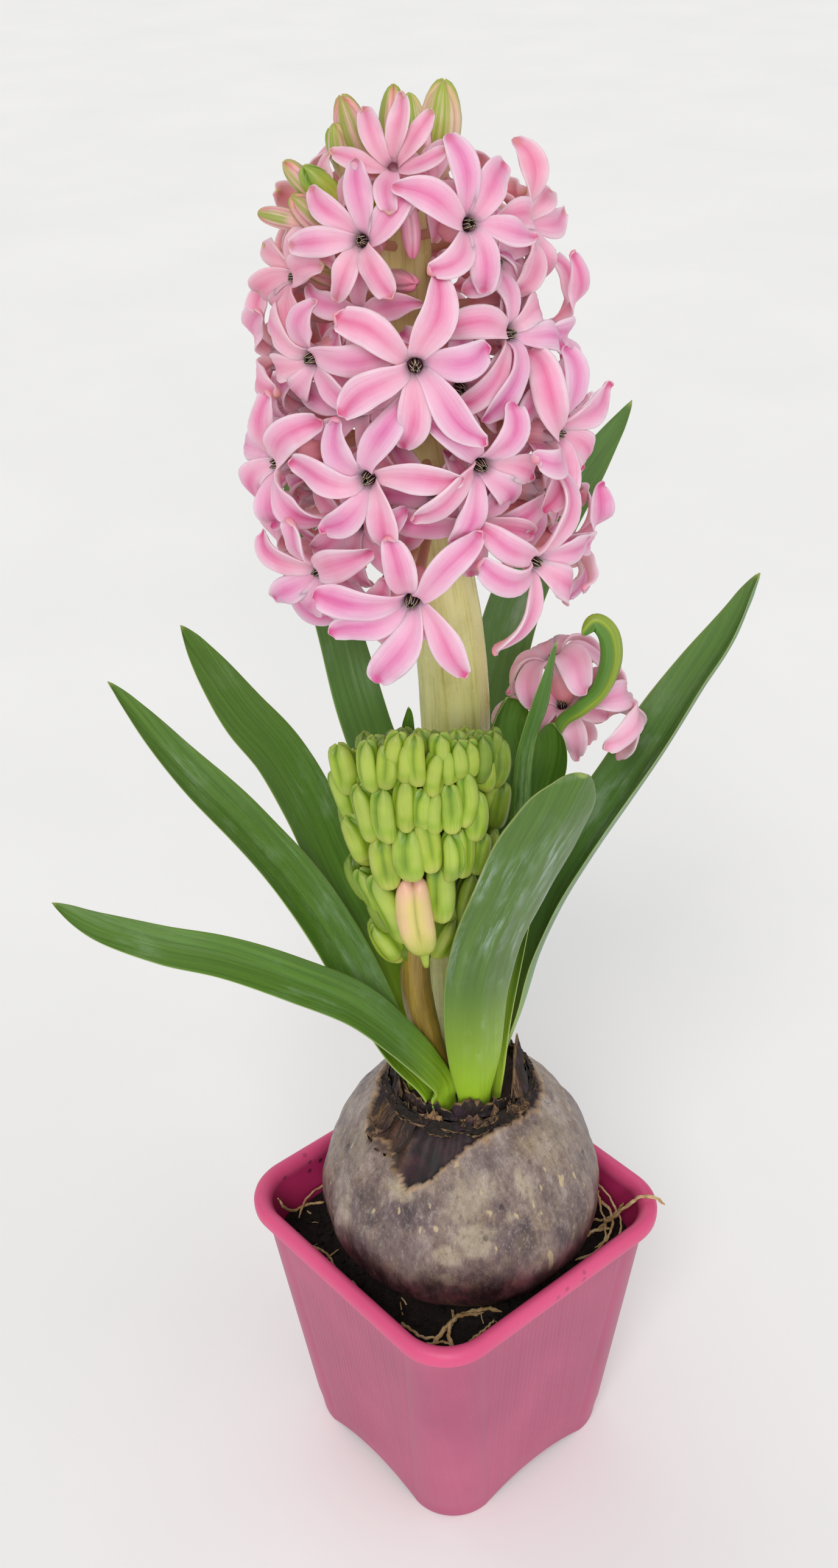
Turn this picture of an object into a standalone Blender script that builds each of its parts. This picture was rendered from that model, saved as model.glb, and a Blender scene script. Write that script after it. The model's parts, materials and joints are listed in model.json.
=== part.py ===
"""Potted hyacinth: a forced bulb in a square 7 cm grower's pot.

Frame: metres, +Z up, origin on the table under the middle of the pot, pot sides along X and Y.
The plant is authored in its own frame (x = to its right, y = to its back, z = up), which is turned
PLANT_TURN about Z against the pot. All the lengths below are in millimetres and are scaled by MM.
"""

import bpy
import bmesh
from math import cos, pi, radians, sin, sqrt
from mathutils import Matrix, Vector

MM = 0.001

# ---- driving dimensions (mm) -------------------------------------------------------------------
POT_HEIGHT = 68.0
POT_RIM_HALF = 35.0  # half of the 70 mm square rim
POT_TOP_HALF = 32.6  # wall just under the rim
POT_FOOT_HALF = 26.0  # wall at the foot
POT_CORNER_R = 10.7
POT_WALL = 1.2
POT_LIP = 4.6  # height of the rolled lip
POT_FLOOR_LOW = 2.5  # underside of the base plate
POT_FLOOR_TOP = 3.9
POT_PAD_R = 7.0  # middle pad under the base, level with the feet
ARCH_WIDTH = 30.0
ARCH_HEIGHT = 2.8
DRAIN_R = 2.6
DRAIN_AT = 14.0

SOIL_TOP = 55.0
GAP = 0.35  # between neighbouring pieces

PLANT_TURN = 50.0  # degrees about Z
BULB_R = 30.2
BULB_X = 1.5  # the bulb sits a little to the right of the pot's middle
BULB_MID = 71.5
NECK_TOP = 103.2
BASE_Z = 104.3  # where leaves and stalks leave the neck

COLLAR_R = 13.8
COLLAR_H = 4.6

# main flower stalk: x, y, z, radius
MAIN_STALK = [
    (1.5, 3.8, BASE_Z, 5.0),
    (1.7, 3.8, 118, 5.5),
    (2.0, 3.6, 140, 6.2),
    (2.2, 3.5, 165, 6.5),
    (2.1, 3.4, 190, 6.5),
    (0.9, 3.3, 208, 6.2),
    (-1.3, 3.1, 226, 5.8),
    (-3.2, 2.9, 244, 5.3),
    (-4.6, 2.7, 262, 4.8),
    (-5.1, 2.4, 277, 4.2),
    (-4.9, 2.2, 285, 3.0),
]
BUD_STALK = [
    (-2.7, -3.8, BASE_Z, 2.6),
    (-3.0, -4.0, 109, 2.7),
    (-4.8, -5.4, 118, 2.9),
    (-6.2, -7.6, 128, 3.1),
    (-6.8, -10.0, 136, 3.0),
]
SIDE_STALK = [
    (6.2, -3.9, BASE_Z, 1.8),
    (6.3, -3.9, 111, 1.8),
    (7.4, -3.8, 125, 1.9),
    (11.0, -2.4, 152, 1.9),
    (17.0, -0.2, 174, 1.8),
    (22.5, 0.8, 188, 1.6),
]

# bud raceme: a crowded cone of closed buds, wide and flat on top
BUD_FOOT = (-6.8, -12.0, 143.6)
BUD_HEAD = (-4.4, -16.4, 188.5)
BUD_COUNT = 46
BUD_HALF_WIDE = 13.8
BUD_HALF_DEEP = 7.8

# leaves: path from base to tip (x, y, z), widths along it, side that the channel opens to, channel depth
LEAVES = {
    "leaf_lower_left": dict(
        path=[(-1.9, -9.6, BASE_Z), (-2.3, -10.2, 109.5), (-5.2, -12.9, 117), (-11, -16, 127), (-19, -19.5, 138.5),
              (-30, -23, 147.5), (-42, -25, 154.5), (-53, -25.5, 158), (-63, -25, 162), (-72, -22, 166)],
        widths=[6.0, 6.4, 7.6, 8.8, 9.2, 9.0, 8.4, 7.4, 5.6, 1.4], face=(0.3, -0.5, 0.8), channel=0.30),
    "leaf_mid_left": dict(
        path=[(-4.4, -8.4, BASE_Z), (-6.3, -9.9, 110.5), (-11.2, -12.8, 121.5), (-16.2, -12.4, 134), (-22.9, -9, 147),
              (-30, -6, 158.5), (-38, -4, 169), (-47, -2, 179.5), (-54, -1, 189), (-61, 0, 199)],
        widths=[4.4, 6.0, 8.6, 10.6, 11.4, 11.0, 10.2, 8.6, 6.0, 1.4], face=(0.55, -0.5, 0.65), channel=0.42),
    "leaf_upper_left": dict(
        path=[(-7.7, -1.6, BASE_Z), (-9.6, -1.8, 119), (-13.3, -0.4, 132.5), (-17.7, 3, 143), (-22.2, 7, 152.5),
              (-26.8, 11, 163.5), (-32.6, 14, 174), (-38.7, 16, 182), (-44.1, 18, 190.5), (-49.6, 20, 200)],
        widths=[5.0, 7.0, 9.4, 11.4, 12.2, 12.4, 12.0, 10.6, 7.8, 1.6], face=(0.6, -0.62, 0.5), channel=0.22),
    "leaf_rear_left": dict(
        path=[(-5.8, 7.6, BASE_Z), (-7.0, 8.6, 128), (-9.4, 10.4, 152), (-12.4, 12.5, 169), (-15.2, 15.0, 180),
              (-18.2, 19.5, 191), (-21.4, 26.5, 202), (-25, 32.5, 213), (-29.5, 38.5, 226)],
        widths=[5.0, 7.6, 9.4, 10.2, 10.0, 9.6, 8.8, 6.8, 1.6], face=(0.45, -0.85, 0.2), channel=0.24),
    "leaf_broad_right": dict(
        path=[(4.6, -9.4, BASE_Z), (4.6, -12.4, 118), (5.0, -16.8, 137), (7.2, -20.2, 151.5), (11.4, -24, 166.5),
              (16.0, -27, 179.5), (19.6, -29, 188), (22.6, -30, 195)],
        widths=[6.2, 10.5, 12.6, 13.6, 14.8, 14.8, 12.6, 4.6], face=(-0.3, 0.93, 0.2), channel=0.26),
    "leaf_long_right": dict(
        path=[(9.6, 1.2, BASE_Z), (10.6, 0.2, 112.5), (12.9, -0.6, 123.5), (15.5, -0.6, 136), (19.6, -0.4, 148),
              (25.6, 0, 160), (32.4, 1, 171.5), (40, 3, 183.5), (46.6, 5, 193.5), (52.3, 6.4, 202), (57.8, 8, 213)],
        widths=[5.2, 7.6, 10.0, 12.0, 13.0, 13.4, 13.2, 12.4, 10.6, 8.0, 1.4], face=(-0.62, -0.3, 0.72), channel=0.62),
    "leaf_rear_right": dict(
        path=[(4.2, 10.4, BASE_Z), (4.6, 11.0, 111), (5.6, 14.2, 130), (6.8, 16.6, 152), (8.0, 18.6, 174), (11.0, 21.6, 190),
              (15.6, 26.6, 203), (21.4, 30, 213), (28.5, 31, 225), (36.3, 31, 238)],
        widths=[6.2, 7.4, 10.6, 11.8, 12.0, 11.8, 11.0, 9.6, 7.2, 1.6], face=(0.35, -0.9, 0.3), channel=0.26),
    "leaf_narrow_right": dict(
        path=[(6.8, -7.3, BASE_Z), (8.2, -9.0, 124), (11.2, -10.4, 146), (13.0, -10.6, 166), (13.8, -10.8, 182),
              (15.0, -11.2, 191), (17.0, -11.8, 199), (19.2, -12.4, 211)],
        widths=[2.6, 3.2, 3.6, 4.0, 4.2, 4.0, 3.4, 1.0], face=(-0.5, 0.8, 0.2), channel=0.3),
    "leaf_cupped_left": dict(
        path=[(2.0, -6.6, BASE_Z), (3.6, -6.6, 124), (6.6, -6.0, 150), (9.0, -5.4, 170), (10.6, -4.8, 182),
              (10.2, -4.6, 189), (10.4, -4.2, 195)],
        widths=[2.6, 3.2, 3.8, 4.6, 5.6, 6.4, 3.0], face=(0.75, -0.6, 0.2), channel=0.4),
    "leaf_cupped_right": dict(
        path=[(9.2, -5.6, BASE_Z), (11.0, -7.2, 124), (14.2, -8.0, 148), (16.6, -7.8, 166), (18.2, -7.8, 178),
              (19.4, -8.0, 186), (19.2, -7.6, 192)],
        widths=[2.4, 3.0, 3.4, 4.2, 5.6, 6.4, 3.0], face=(-0.75, -0.6, 0.2), channel=0.3),
    "leaf_hooked": dict(
        path=[(8.9, -3.2, BASE_Z), (11.0, -4.9, 124), (14.2, -5.0, 150), (16.4, -4.8, 170), (18.6, -4.4, 183), (21.2, -4.5, 190),
              (24.8, -4.9, 193.2), (28.2, -4.6, 196.6), (30.0, -5.2, 202.5), (29.4, -5.8, 208), (27.0, -6.0, 210.6), (24.8, -6.0, 208.2)],
        widths=[1.6, 1.8, 2.0, 2.2, 2.4, 2.6, 2.8, 3.0, 3.4, 3.8, 3.6, 1.6], face=(-0.6, 0.0, 0.8), channel=0.2),
}
LEAF_THICK = 1.1
LEAF_THIN = 0.8  # the small leaves of the side shoot

# florets of the main raceme: azimuth from the plant's front (right positive), throat height,
# length from stalk to throat, elevation of its axis, roll, size
FLORETS = {
    "floret_01": (-20, 281.0, 15.0, 18, 36, 0.84),
    "floret_02": (30, 283.0, 17.0, 18, 17, 0.88),
    "floret_03": (80, 279.0, 16.0, 14, 10, 0.86),
    "floret_04": (-69, 272.6, 14.5, 7, 40, 0.86),
    "floret_05": (134, 280.0, 14.5, 18, 20, 0.84),
    "floret_06": (-130, 279.0, 14.5, 18, 50, 0.84),
    "floret_07": (2, 263.5, 20.0, 5, 50, 1.0),
    "floret_08": (48, 265.0, 17.0, 11, 4, 0.92),
    "floret_09": (90, 260.5, 19.5, 2, 20, 0.94),
    "floret_10": (-43, 262.5, 18.0, -1, 5, 0.94),
    "floret_11": (-94, 257.0, 18.5, 2, 25, 0.94),
    "floret_12": (-142, 261.5, 16.5, 4, 0, 0.94),
    "floret_13": (172, 263.0, 19.5, 10, 20, 0.94),
    "floret_14": (133, 261.5, 16.5, 9, 20, 0.94),
    "floret_15": (-20, 245.0, 20.0, 0, 55, 1.0),
    "floret_16": (24, 246.0, 19.0, -2, 32, 0.98),
    "floret_17": (63, 247.0, 20.5, 0, 7, 1.0),
    "floret_18": (-66, 243.0, 21.0, -5, 54, 1.0),
    "floret_19": (108, 241.5, 19.5, -4, 50, 0.96),
    "floret_20": (-117, 241.5, 20.5, 1, 0, 0.98),
    "floret_21": (-159, 241.5, 17.0, -2, 10, 0.98),
    "floret_22": (150, 243.5, 18.5, -2, 50, 0.98),
    "floret_23": (-9, 224.0, 20.5, -8, 15, 1.04),
    "floret_24": (44, 227.0, 19.5, -10, 45, 1.0),
    "floret_25": (-52, 225.0, 19.5, -15, 10, 1.0),
    "floret_26": (-89, 222.0, 20.0, -19, 35, 0.96),
    "floret_27": (89, 222.0, 20.0, -9, 55, 0.96),
    "floret_28": (126, 223.0, 18.0, -17, 5, 0.96),
    "floret_29": (-135, 222.0, 18.0, -17, 55, 0.96),
    "floret_30": (172, 224.0, 18.0, -12, 35, 0.96),
    "floret_31": (-6, 290.8, 11.5, 36, 0, 0.66),
}
# side shoot's florets: foot, axis, length, roll, size
SIDE_FLORETS = {
    "side_floret_1": ((23.2, 1.2, 190.8), (-0.32, 0.10, 0.94), 10.5, 10, 0.78),
    "side_floret_2": ((25.2, 1.0, 188.2), (0.93, 0.12, 0.34), 9.0, 40, 0.78),
    "side_floret_3": ((20.4, 3.2, 181.4), (0.1, 0.9, 0.42), 9.0, 20, 0.74),
}
# closed buds at the tip: foot, axis, length, greatest radius
TOP_BUDS = {
    "top_bud_1": ((-8.4, 1.2, 286.2), (-5.2, -2.0, 12.2), 13.4, 2.6),
    "top_bud_2": ((-5.4, 2.4, 286.6), (-0.4, 0.2, 12.4), 12.6, 2.1),
    "top_bud_3": ((-1.0, 1.6, 286.0), (2.8, -1.2, 14.0), 14.2, 3.1),
    "top_bud_4": ((-9.2, 4.2, 283.4), (-6.4, 0.4, 9.2), 11.4, 2.3),
    "top_bud_5": ((-4.2, 6.2, 284.8), (0.8, 4.6, 11.6), 12.4, 2.3),
}
# roots on the mix: pot frame
ROOT_R = 0.55


def clear_scene():
    for obj in list(bpy.data.objects):
        bpy.data.objects.remove(obj, do_unlink=True)


clear_scene()

PARTS = bpy.data.collections.new("potted_hyacinth")
HELPERS = bpy.data.collections.new("cutters")
bpy.context.scene.collection.children.link(PARTS)
bpy.context.scene.collection.children.link(HELPERS)

plant = bpy.data.objects.new("plant_turn", None)
plant.rotation_euler = (0, 0, radians(PLANT_TURN))
PARTS.objects.link(plant)


def material(name, color, roughness, metallic=0.0):
    mat = bpy.data.materials.get(name)
    if mat:
        return mat
    mat = bpy.data.materials.new(name)
    mat.use_nodes = True
    shader = mat.node_tree.nodes["Principled BSDF"]
    shader.inputs["Base Color"].default_value = (*color, 1)
    shader.inputs["Roughness"].default_value = roughness
    shader.inputs["Metallic"].default_value = metallic
    return mat


PINK_PLASTIC = ((0.72, 0.10, 0.28), 0.42)
MIX = ((0.020, 0.015, 0.012), 0.95)
TUNIC = ((0.24, 0.17, 0.19), 0.45)
SCALE = ((0.09, 0.05, 0.03), 0.8)
ROOT = ((0.55, 0.40, 0.22), 0.6)
STALK = ((0.42, 0.40, 0.15), 0.35)
BUD_STEM = ((0.35, 0.22, 0.08), 0.5)
LIME = ((0.30, 0.45, 0.05), 0.4)
GREEN = ((0.09, 0.22, 0.05), 0.4)
TEPAL = ((0.85, 0.32, 0.50), 0.45)
TIP_BUD = ((0.75, 0.42, 0.35), 0.45)


def smooth(mesh, angle=35):
    mesh.shade_smooth()
    mesh.set_sharp_from_angle(angle=radians(angle))


def finish(name, mesh, look, parent=None, collection=None, smooth_angle=35):
    mesh.validate()
    if smooth_angle:
        smooth(mesh, smooth_angle)
    obj = bpy.data.objects.new(name, mesh)
    (collection or PARTS).objects.link(obj)
    if parent:
        obj.parent = parent
    if look:
        mesh.materials.append(material(name.rstrip("0123456789_") + "_finish", *look))
    if collection is HELPERS:
        obj.hide_render = True
        obj.display_type = "WIRE"
    return obj


def from_bmesh(name, bm, look, parent=None, collection=None, smooth_angle=35):
    bmesh.ops.recalc_face_normals(bm, faces=bm.faces)
    bm.transform(Matrix.Scale(MM, 4))
    mesh = bpy.data.meshes.new(name)
    bm.to_mesh(mesh)
    bm.free()
    return finish(name, mesh, look, parent, collection, smooth_angle)


def spline(points, t):
    """Catmull-Rom through points of any dimension, t in 0..1."""
    n = len(points) - 1
    k = min(int(t * n), n - 1)
    f = t * n - k
    p1, p2 = Vector(points[k]), Vector(points[k + 1])
    p0 = Vector(points[k - 1]) if k else p1 * 2 - p2
    p3 = Vector(points[k + 2]) if k + 2 <= n else p2 * 2 - p1
    return 0.5 * (2 * p1 + (p2 - p0) * f + (2 * p0 - 5 * p1 + 4 * p2 - p3) * f * f + (3 * p1 - p0 - 3 * p2 + p3) * f**3)


# ---- pot: rounded-square sections of changing corner radius, lofted -----------------------------
CORNER_STEPS = 5


def section(bm, half, corner, z):
    """One ring of the pot's rounded-square outline."""
    corner = min(corner, half)
    ring = []
    for quarter in range(4):
        middle = radians(45 + 90 * quarter)
        cx = (half - corner) * (1 if cos(middle) > 0 else -1)
        cy = (half - corner) * (1 if sin(middle) > 0 else -1)
        for k in range(CORNER_STEPS + 1):
            a = middle + radians(90) * (k / CORNER_STEPS - 0.5)
            ring.append(bm.verts.new((cx + corner * cos(a), cy + corner * sin(a), z)))
    return ring


def loft(bm, rings):
    for low, high in zip(rings, rings[1:]):
        n = len(low)
        for i in range(n):
            bm.faces.new((low[i], low[(i + 1) % n], high[(i + 1) % n], high[i]))
    bm.faces.new(reversed(rings[0]))
    bm.faces.new(rings[-1])


def wall_half(z):
    return POT_FOOT_HALF + (POT_TOP_HALF - POT_FOOT_HALF) * z / (POT_HEIGHT - POT_LIP)


lip_low = POT_HEIGHT - POT_LIP
pot_sections = [
    (POT_PAD_R, POT_PAD_R, 0),
    (POT_PAD_R + 0.5, POT_PAD_R + 0.5, POT_FLOOR_LOW),
    (wall_half(POT_FLOOR_LOW) - POT_WALL, POT_CORNER_R - 1.1, POT_FLOOR_LOW),
    (wall_half(0) - POT_WALL - 0.1, POT_CORNER_R - 1.1, 0),
    (wall_half(0) - 0.3, POT_CORNER_R - 0.2, 0),
    (wall_half(0.7), POT_CORNER_R, 0.7),
    (wall_half(lip_low), POT_CORNER_R, lip_low),
    (POT_RIM_HALF - 0.7, POT_CORNER_R + 0.8, lip_low + 0.5),
    (POT_RIM_HALF, POT_CORNER_R + 1.1, lip_low + 1.7),
    (POT_RIM_HALF, POT_CORNER_R + 1.1, lip_low + 3.3),
    (POT_RIM_HALF - 0.5, POT_CORNER_R + 0.8, POT_HEIGHT - 0.35),
    (POT_RIM_HALF - 1.4, POT_CORNER_R + 0.2, POT_HEIGHT),
    (POT_RIM_HALF - 2.6, POT_CORNER_R - 0.7, POT_HEIGHT - 0.25),
    (wall_half(lip_low) - POT_WALL + 0.1, POT_CORNER_R - 1.1, POT_HEIGHT - 1.8),
    (wall_half(lip_low) - POT_WALL, POT_CORNER_R - 1.1, lip_low),
    (wall_half(POT_FLOOR_TOP + 0.8) - POT_WALL, POT_CORNER_R - 1.1, POT_FLOOR_TOP + 0.8),
    (wall_half(POT_FLOOR_TOP) - POT_WALL - 0.9, POT_CORNER_R - 1.6, POT_FLOOR_TOP),
]
bm = bmesh.new()
loft(bm, [section(bm, *s) for s in pot_sections])
pot = from_bmesh("pot", bm, PINK_PLASTIC)


def cylinders(name, places, radius, depth, segments):
    """Cutter of separate cylinders: each place is a matrix."""
    bm = bmesh.new()
    for place in places:
        bmesh.ops.create_cone(bm, cap_ends=True, segments=segments, radius1=radius, radius2=radius, depth=depth, matrix=place)
    return from_bmesh(name, bm, None, collection=HELPERS, smooth_angle=0)


def cut(obj, cutter, name):
    mod = obj.modifiers.new(name, "BOOLEAN")
    mod.operation = "DIFFERENCE"
    mod.solver = "EXACT"
    mod.object = cutter


arch_radius = ARCH_WIDTH**2 / (8 * ARCH_HEIGHT) + ARCH_HEIGHT / 2
arch_mid = ARCH_HEIGHT - arch_radius
along_y = Matrix.Rotation(radians(90), 4, "X")
along_x = Matrix.Rotation(radians(90), 4, "Y")
cut(pot, cylinders("arch_cutter_front_back", [Matrix.Translation((0, s * 26.2, arch_mid)) @ along_y for s in (-1, 1)],
                   arch_radius, 6.0, 120), "arches_front_back")
cut(pot, cylinders("arch_cutter_sides", [Matrix.Translation((s * 26.2, 0, arch_mid)) @ along_x for s in (-1, 1)],
                   arch_radius, 6.0, 120), "arches_sides")
cut(pot, cylinders("drain_cutter", [Matrix.Translation((sx * DRAIN_AT, sy * DRAIN_AT, 3.0)) for sx in (-1, 1) for sy in (-1, 1)],
                   DRAIN_R, 4.0, 12), "drain_holes")

# ---- bulb: turned --------------------------------------------------------------------------------
BULB_PROFILE = [
    (0, NECK_TOP), (8.0, NECK_TOP), (12.6, NECK_TOP - 0.2), (14.2, NECK_TOP - 1.6), (18.0, 98.2), (23.2, 92.0), (27.2, 85.0),
    (29.6, 78.0), (BULB_R, BULB_MID), (29.2, 65.0), (26.2, 59.0), (21.0, 54.0), (13.0, 51.0), (0, 50.2),
]


def turned(name, profile, steps, look, parent=None, collection=None):
    bm = bmesh.new()
    verts = [bm.verts.new((r * MM, 0, z * MM)) for r, z in profile]
    for a, b in zip(verts, verts[1:]):
        bm.edges.new((a, b))
    mesh = bpy.data.meshes.new(name)
    bm.to_mesh(mesh)
    bm.free()
    obj = finish(name, mesh, look, parent, collection, smooth_angle=0)
    screw = obj.modifiers.new("turn", "SCREW")
    screw.axis = "Z"
    screw.angle = 2 * pi
    screw.steps = screw.render_steps = steps
    screw.use_merge_vertices = True
    screw.merge_threshold = 0.00001
    screw.use_smooth_shade = True
    return obj


bulb = turned("bulb", BULB_PROFILE, 24, TUNIC, plant)
bulb.location = (BULB_X * MM, 0, 0)
swell = 1.016
bulb_cutter = turned("bulb_cutter", [(r * swell, BULB_MID + (z - BULB_MID) * swell) for r, z in BULB_PROFILE], 24, None, plant, HELPERS)
bulb_cutter.location = (BULB_X * MM, 0, 0)

# ---- potting mix: fills the pot, dished for the bulb ------------------------------------------------
bm = bmesh.new()
mix_sections = [
    (wall_half(POT_FLOOR_TOP) - POT_WALL - 1.3, POT_CORNER_R - 2.0, POT_FLOOR_TOP + GAP),
    (wall_half(POT_FLOOR_TOP + 1.2) - POT_WALL - GAP - 0.1, POT_CORNER_R - 1.5, POT_FLOOR_TOP + 1.2),
    (wall_half(SOIL_TOP - 1) - POT_WALL - GAP, POT_CORNER_R - 1.5, SOIL_TOP - 1),
    (wall_half(SOIL_TOP) - POT_WALL - 1.2, POT_CORNER_R - 2.2, SOIL_TOP),
]
loft(bm, [section(bm, *s) for s in mix_sections])
mix = from_bmesh("potting_mix", bm, MIX)
cut(mix, bulb_cutter, "bulb_dish")

# ---- dry scales standing round the neck ------------------------------------------------------------
bm = bmesh.new()
bmesh.ops.create_cone(bm, cap_ends=False, segments=26, radius1=COLLAR_R, radius2=COLLAR_R + 1.2, depth=COLLAR_H)
for v in bm.verts:
    v.co.z += NECK_TOP + 0.45 + COLLAR_H / 2
    if v.co.z > NECK_TOP + 1:
        k = round((v.co.xy.angle_signed(Vector((1, 0)))) / (2 * pi / 26))
        v.co.z += (1.3, -1.6, 0.6, -0.4, 2.2, -1.2, 0.2)[k % 7]
collar = from_bmesh("neck_scales", bm, SCALE, plant)
collar.location = (BULB_X * MM, 0, 0)
shell = collar.modifiers.new("thickness", "SOLIDIFY")
shell.thickness = 0.9 * MM
shell.offset = 0


# ---- stalks and roots: tubes ------------------------------------------------------------------------
def tube(name, points, look, parent, sides, count):
    """points: x, y, z, radius."""
    curve = bpy.data.curves.new(name, "CURVE")
    curve.dimensions = "3D"
    curve.bevel_depth = MM
    curve.bevel_resolution = sides // 2 - 2
    curve.use_fill_caps = True
    line = curve.splines.new("POLY")
    line.points.add(count - 1)
    for k, p in enumerate(line.points):
        x, y, z, r = spline(points, k / (count - 1))
        p.co = (x * MM, y * MM, z * MM, 1)
        p.radius = r
    obj = bpy.data.objects.new(name, curve)
    PARTS.objects.link(obj)
    obj.parent = parent
    curve.materials.append(material(name + "_finish", *look))
    return obj


tube("main_stalk", MAIN_STALK, STALK, plant, 12, 15)
tube("bud_stalk", BUD_STALK, BUD_STEM, plant, 8, 7)
tube("side_stalk", SIDE_STALK, STALK, plant, 8, 9)

soil_z = SOIL_TOP + GAP + ROOT_R
tube("root_front", [(x, y, z, ROOT_R) for x, y, z in [
    (11.5, -22.5, soil_z), (14.0, -25.2, soil_z + 0.8), (17.6, -25.6, soil_z + 1.6), (20.4, -22.2, soil_z + 1.2),
    (24.2, -18.4, soil_z + 0.6), (26.6, -13.6, soil_z)]], ROOT, None, 6, 12)
tube("root_right", [(x, y, z, ROOT_R) for x, y, z in [
    (24.6, 8.0, soil_z), (25.4, 14.0, soil_z), (24.8, 20.6, soil_z + 0.6), (26.0, 25.2, 60), (27.0, 27.0, 65), (28.6, 28.4, 69.0),
    (31.2, 30.6, 69.6), (33.2, 32.6, 68.6), (34.2, 33.4, 65.8)]], ROOT, None, 6, 16)


# ---- leaves: a strap bent along its path, then given thickness ----------------------------------------
def leaf(name, path, widths, face, channel, thick, steps):
    bm = bmesh.new()
    bmesh.ops.create_grid(bm, x_segments=2, y_segments=steps, size=1)
    face = Vector(face).normalized()
    for v in bm.verts:
        u, t = v.co.x, (v.co.y + 1) / 2
        here = spline(path, t)
        ahead = (spline(path, min(t + 0.01, 1)) - spline(path, max(t - 0.01, 0))).normalized()
        side = ahead.cross(face).normalized()
        inner = side.cross(ahead).normalized()
        half = spline([(w, 0) for w in widths], t)[0] / 2
        lift = channel * half * min(1, t * 4)
        v.co = here + side * (u * half * sqrt(max(0.2, 1 - (channel * 0.7) ** 2))) + inner * (lift * (u * u - 0.5))
    obj = from_bmesh(name, bm, GREEN, plant)
    mod = obj.modifiers.new("thickness", "SOLIDIFY")
    mod.thickness = thick * MM
    mod.offset = 0
    return obj


for name, spec in LEAVES.items():
    small = name in ("leaf_narrow_right", "leaf_cupped_left", "leaf_cupped_right", "leaf_hooked")
    leaf(name, thick=LEAF_THIN if small else LEAF_THICK, steps=10 if small else 14, **spec)


# ---- florets: a six-sided tube whose top faces are drawn out into six recurved tepals ------------------
def widen(bm, top, radius, height):
    """Extrudes the top cap to a new ring of the given radius and height, and returns the new cap."""
    made = bmesh.ops.extrude_face_region(bm, geom=[top])["geom"]
    bmesh.ops.delete(bm, geom=[top], context="FACES_ONLY")
    verts = [g for g in made if isinstance(g, bmesh.types.BMVert)]
    for v in verts:
        v.co.xy = v.co.xy.normalized() * radius
        v.co.z = height
    return next(g for g in made if isinstance(g, bmesh.types.BMFace))


def tepal_section(face, angle, rho, z, half_wide, half_thick, tilt):
    """Sets a drawn-out face's four corners: across the tepal and through its thickness."""
    out, across = Vector((cos(angle), sin(angle), 0)), Vector((-sin(angle), cos(angle), 0))
    through = out * -sin(tilt) + Vector((0, 0, 1)) * cos(tilt)
    middle = face.calc_center_median()
    for v in face.verts:
        s = 1 if (v.co - middle).dot(across) > 0 else -1
        h = 1 if (v.co - middle).z > 0 else -1
        if abs((v.co - middle).z) < 1e-6:
            h = 1 if (v.co - middle).dot(through) > 0 else -1
        v.co = out * rho + Vector((0, 0, z)) + across * (s * half_wide) + through * (h * half_thick)


TEPAL_PATH = [  # distance from the floret's axis, height over the throat, half width, half thickness, tilt
    (5.4, 1.2, 1.80, 0.50, radians(12)),
    (9.2, 1.5, 1.85, 0.45, radians(-15)),
    (12.2, -0.6, 1.00, 0.35, radians(-50)),
]


def floret_mesh(name, length):
    bm = bmesh.new()
    bmesh.ops.create_cone(bm, cap_ends=True, segments=6, radius1=0.8, radius2=0.8, depth=1)
    for v in bm.verts:
        v.co.z = 0 if v.co.z < 0 else length - 10.2
    top = max(bm.faces, key=lambda f: f.calc_center_median().z)
    for radius, height in ((2.1, length - 8.4), (1.9, length - 5.0), (2.6, length - 1.3), (2.8, length)):
        top = widen(bm, top, radius, height)
    bmesh.ops.poke(bm, faces=[top], offset=-2.4)
    bm.faces.ensure_lookup_table()
    sides = [f for f in bm.faces if len(f.verts) == 4 and f.calc_center_median().z > length - 1.0]
    for step in TEPAL_PATH:
        sides = [f for f in bmesh.ops.extrude_discrete_faces(bm, faces=sides)["faces"]]
        for f in sides:
            angle = f.calc_center_median().xy.angle_signed(Vector((1, 0)))
            rho, z, w, h, tilt = step
            tepal_section(f, angle, rho, length + z - 0.6, w, h, tilt)
    bmesh.ops.recalc_face_normals(bm, faces=bm.faces)
    bm.transform(Matrix.Rotation(radians(30), 4, "Z") @ Matrix.Scale(MM, 4))
    mesh = bpy.data.meshes.new(name)
    bm.to_mesh(mesh)
    bm.free()
    smooth(mesh, 50)
    return mesh


def aim(foot, axis, roll, size=1.0):
    """Matrix that stands a piece's +Z along axis at foot, with its +X turned roll from level."""
    z = Vector(axis).normalized()
    x = Vector((0, 0, 1)).cross(z)
    x = x.normalized() if x.length > 1e-3 else Vector((1, 0, 0))
    y = z.cross(x)
    turn = Matrix((x, y, z)).transposed().to_4x4()
    return Matrix.Translation(Vector(foot) * MM) @ turn @ Matrix.Rotation(radians(roll), 4, "Z") @ Matrix.Scale(size, 4)


def stalk_at(z):
    """Centre and radius of the main stalk at a height."""
    for a, b in zip(MAIN_STALK, MAIN_STALK[1:]):
        if z <= b[2]:
            f = (z - a[2]) / (b[2] - a[2])
            return Vector(a).lerp(Vector(b), f)
    return Vector(MAIN_STALK[-1])


def place_floret(name, foot, axis, length, roll, size):
    mesh = floret_mesh(name, length / size)
    mesh.materials.append(material("tepal_finish", *TEPAL))
    obj = bpy.data.objects.new(name, mesh)
    PARTS.objects.link(obj)
    obj.parent = plant
    obj.matrix_local = aim(foot, axis, roll, size)
    return obj


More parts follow.
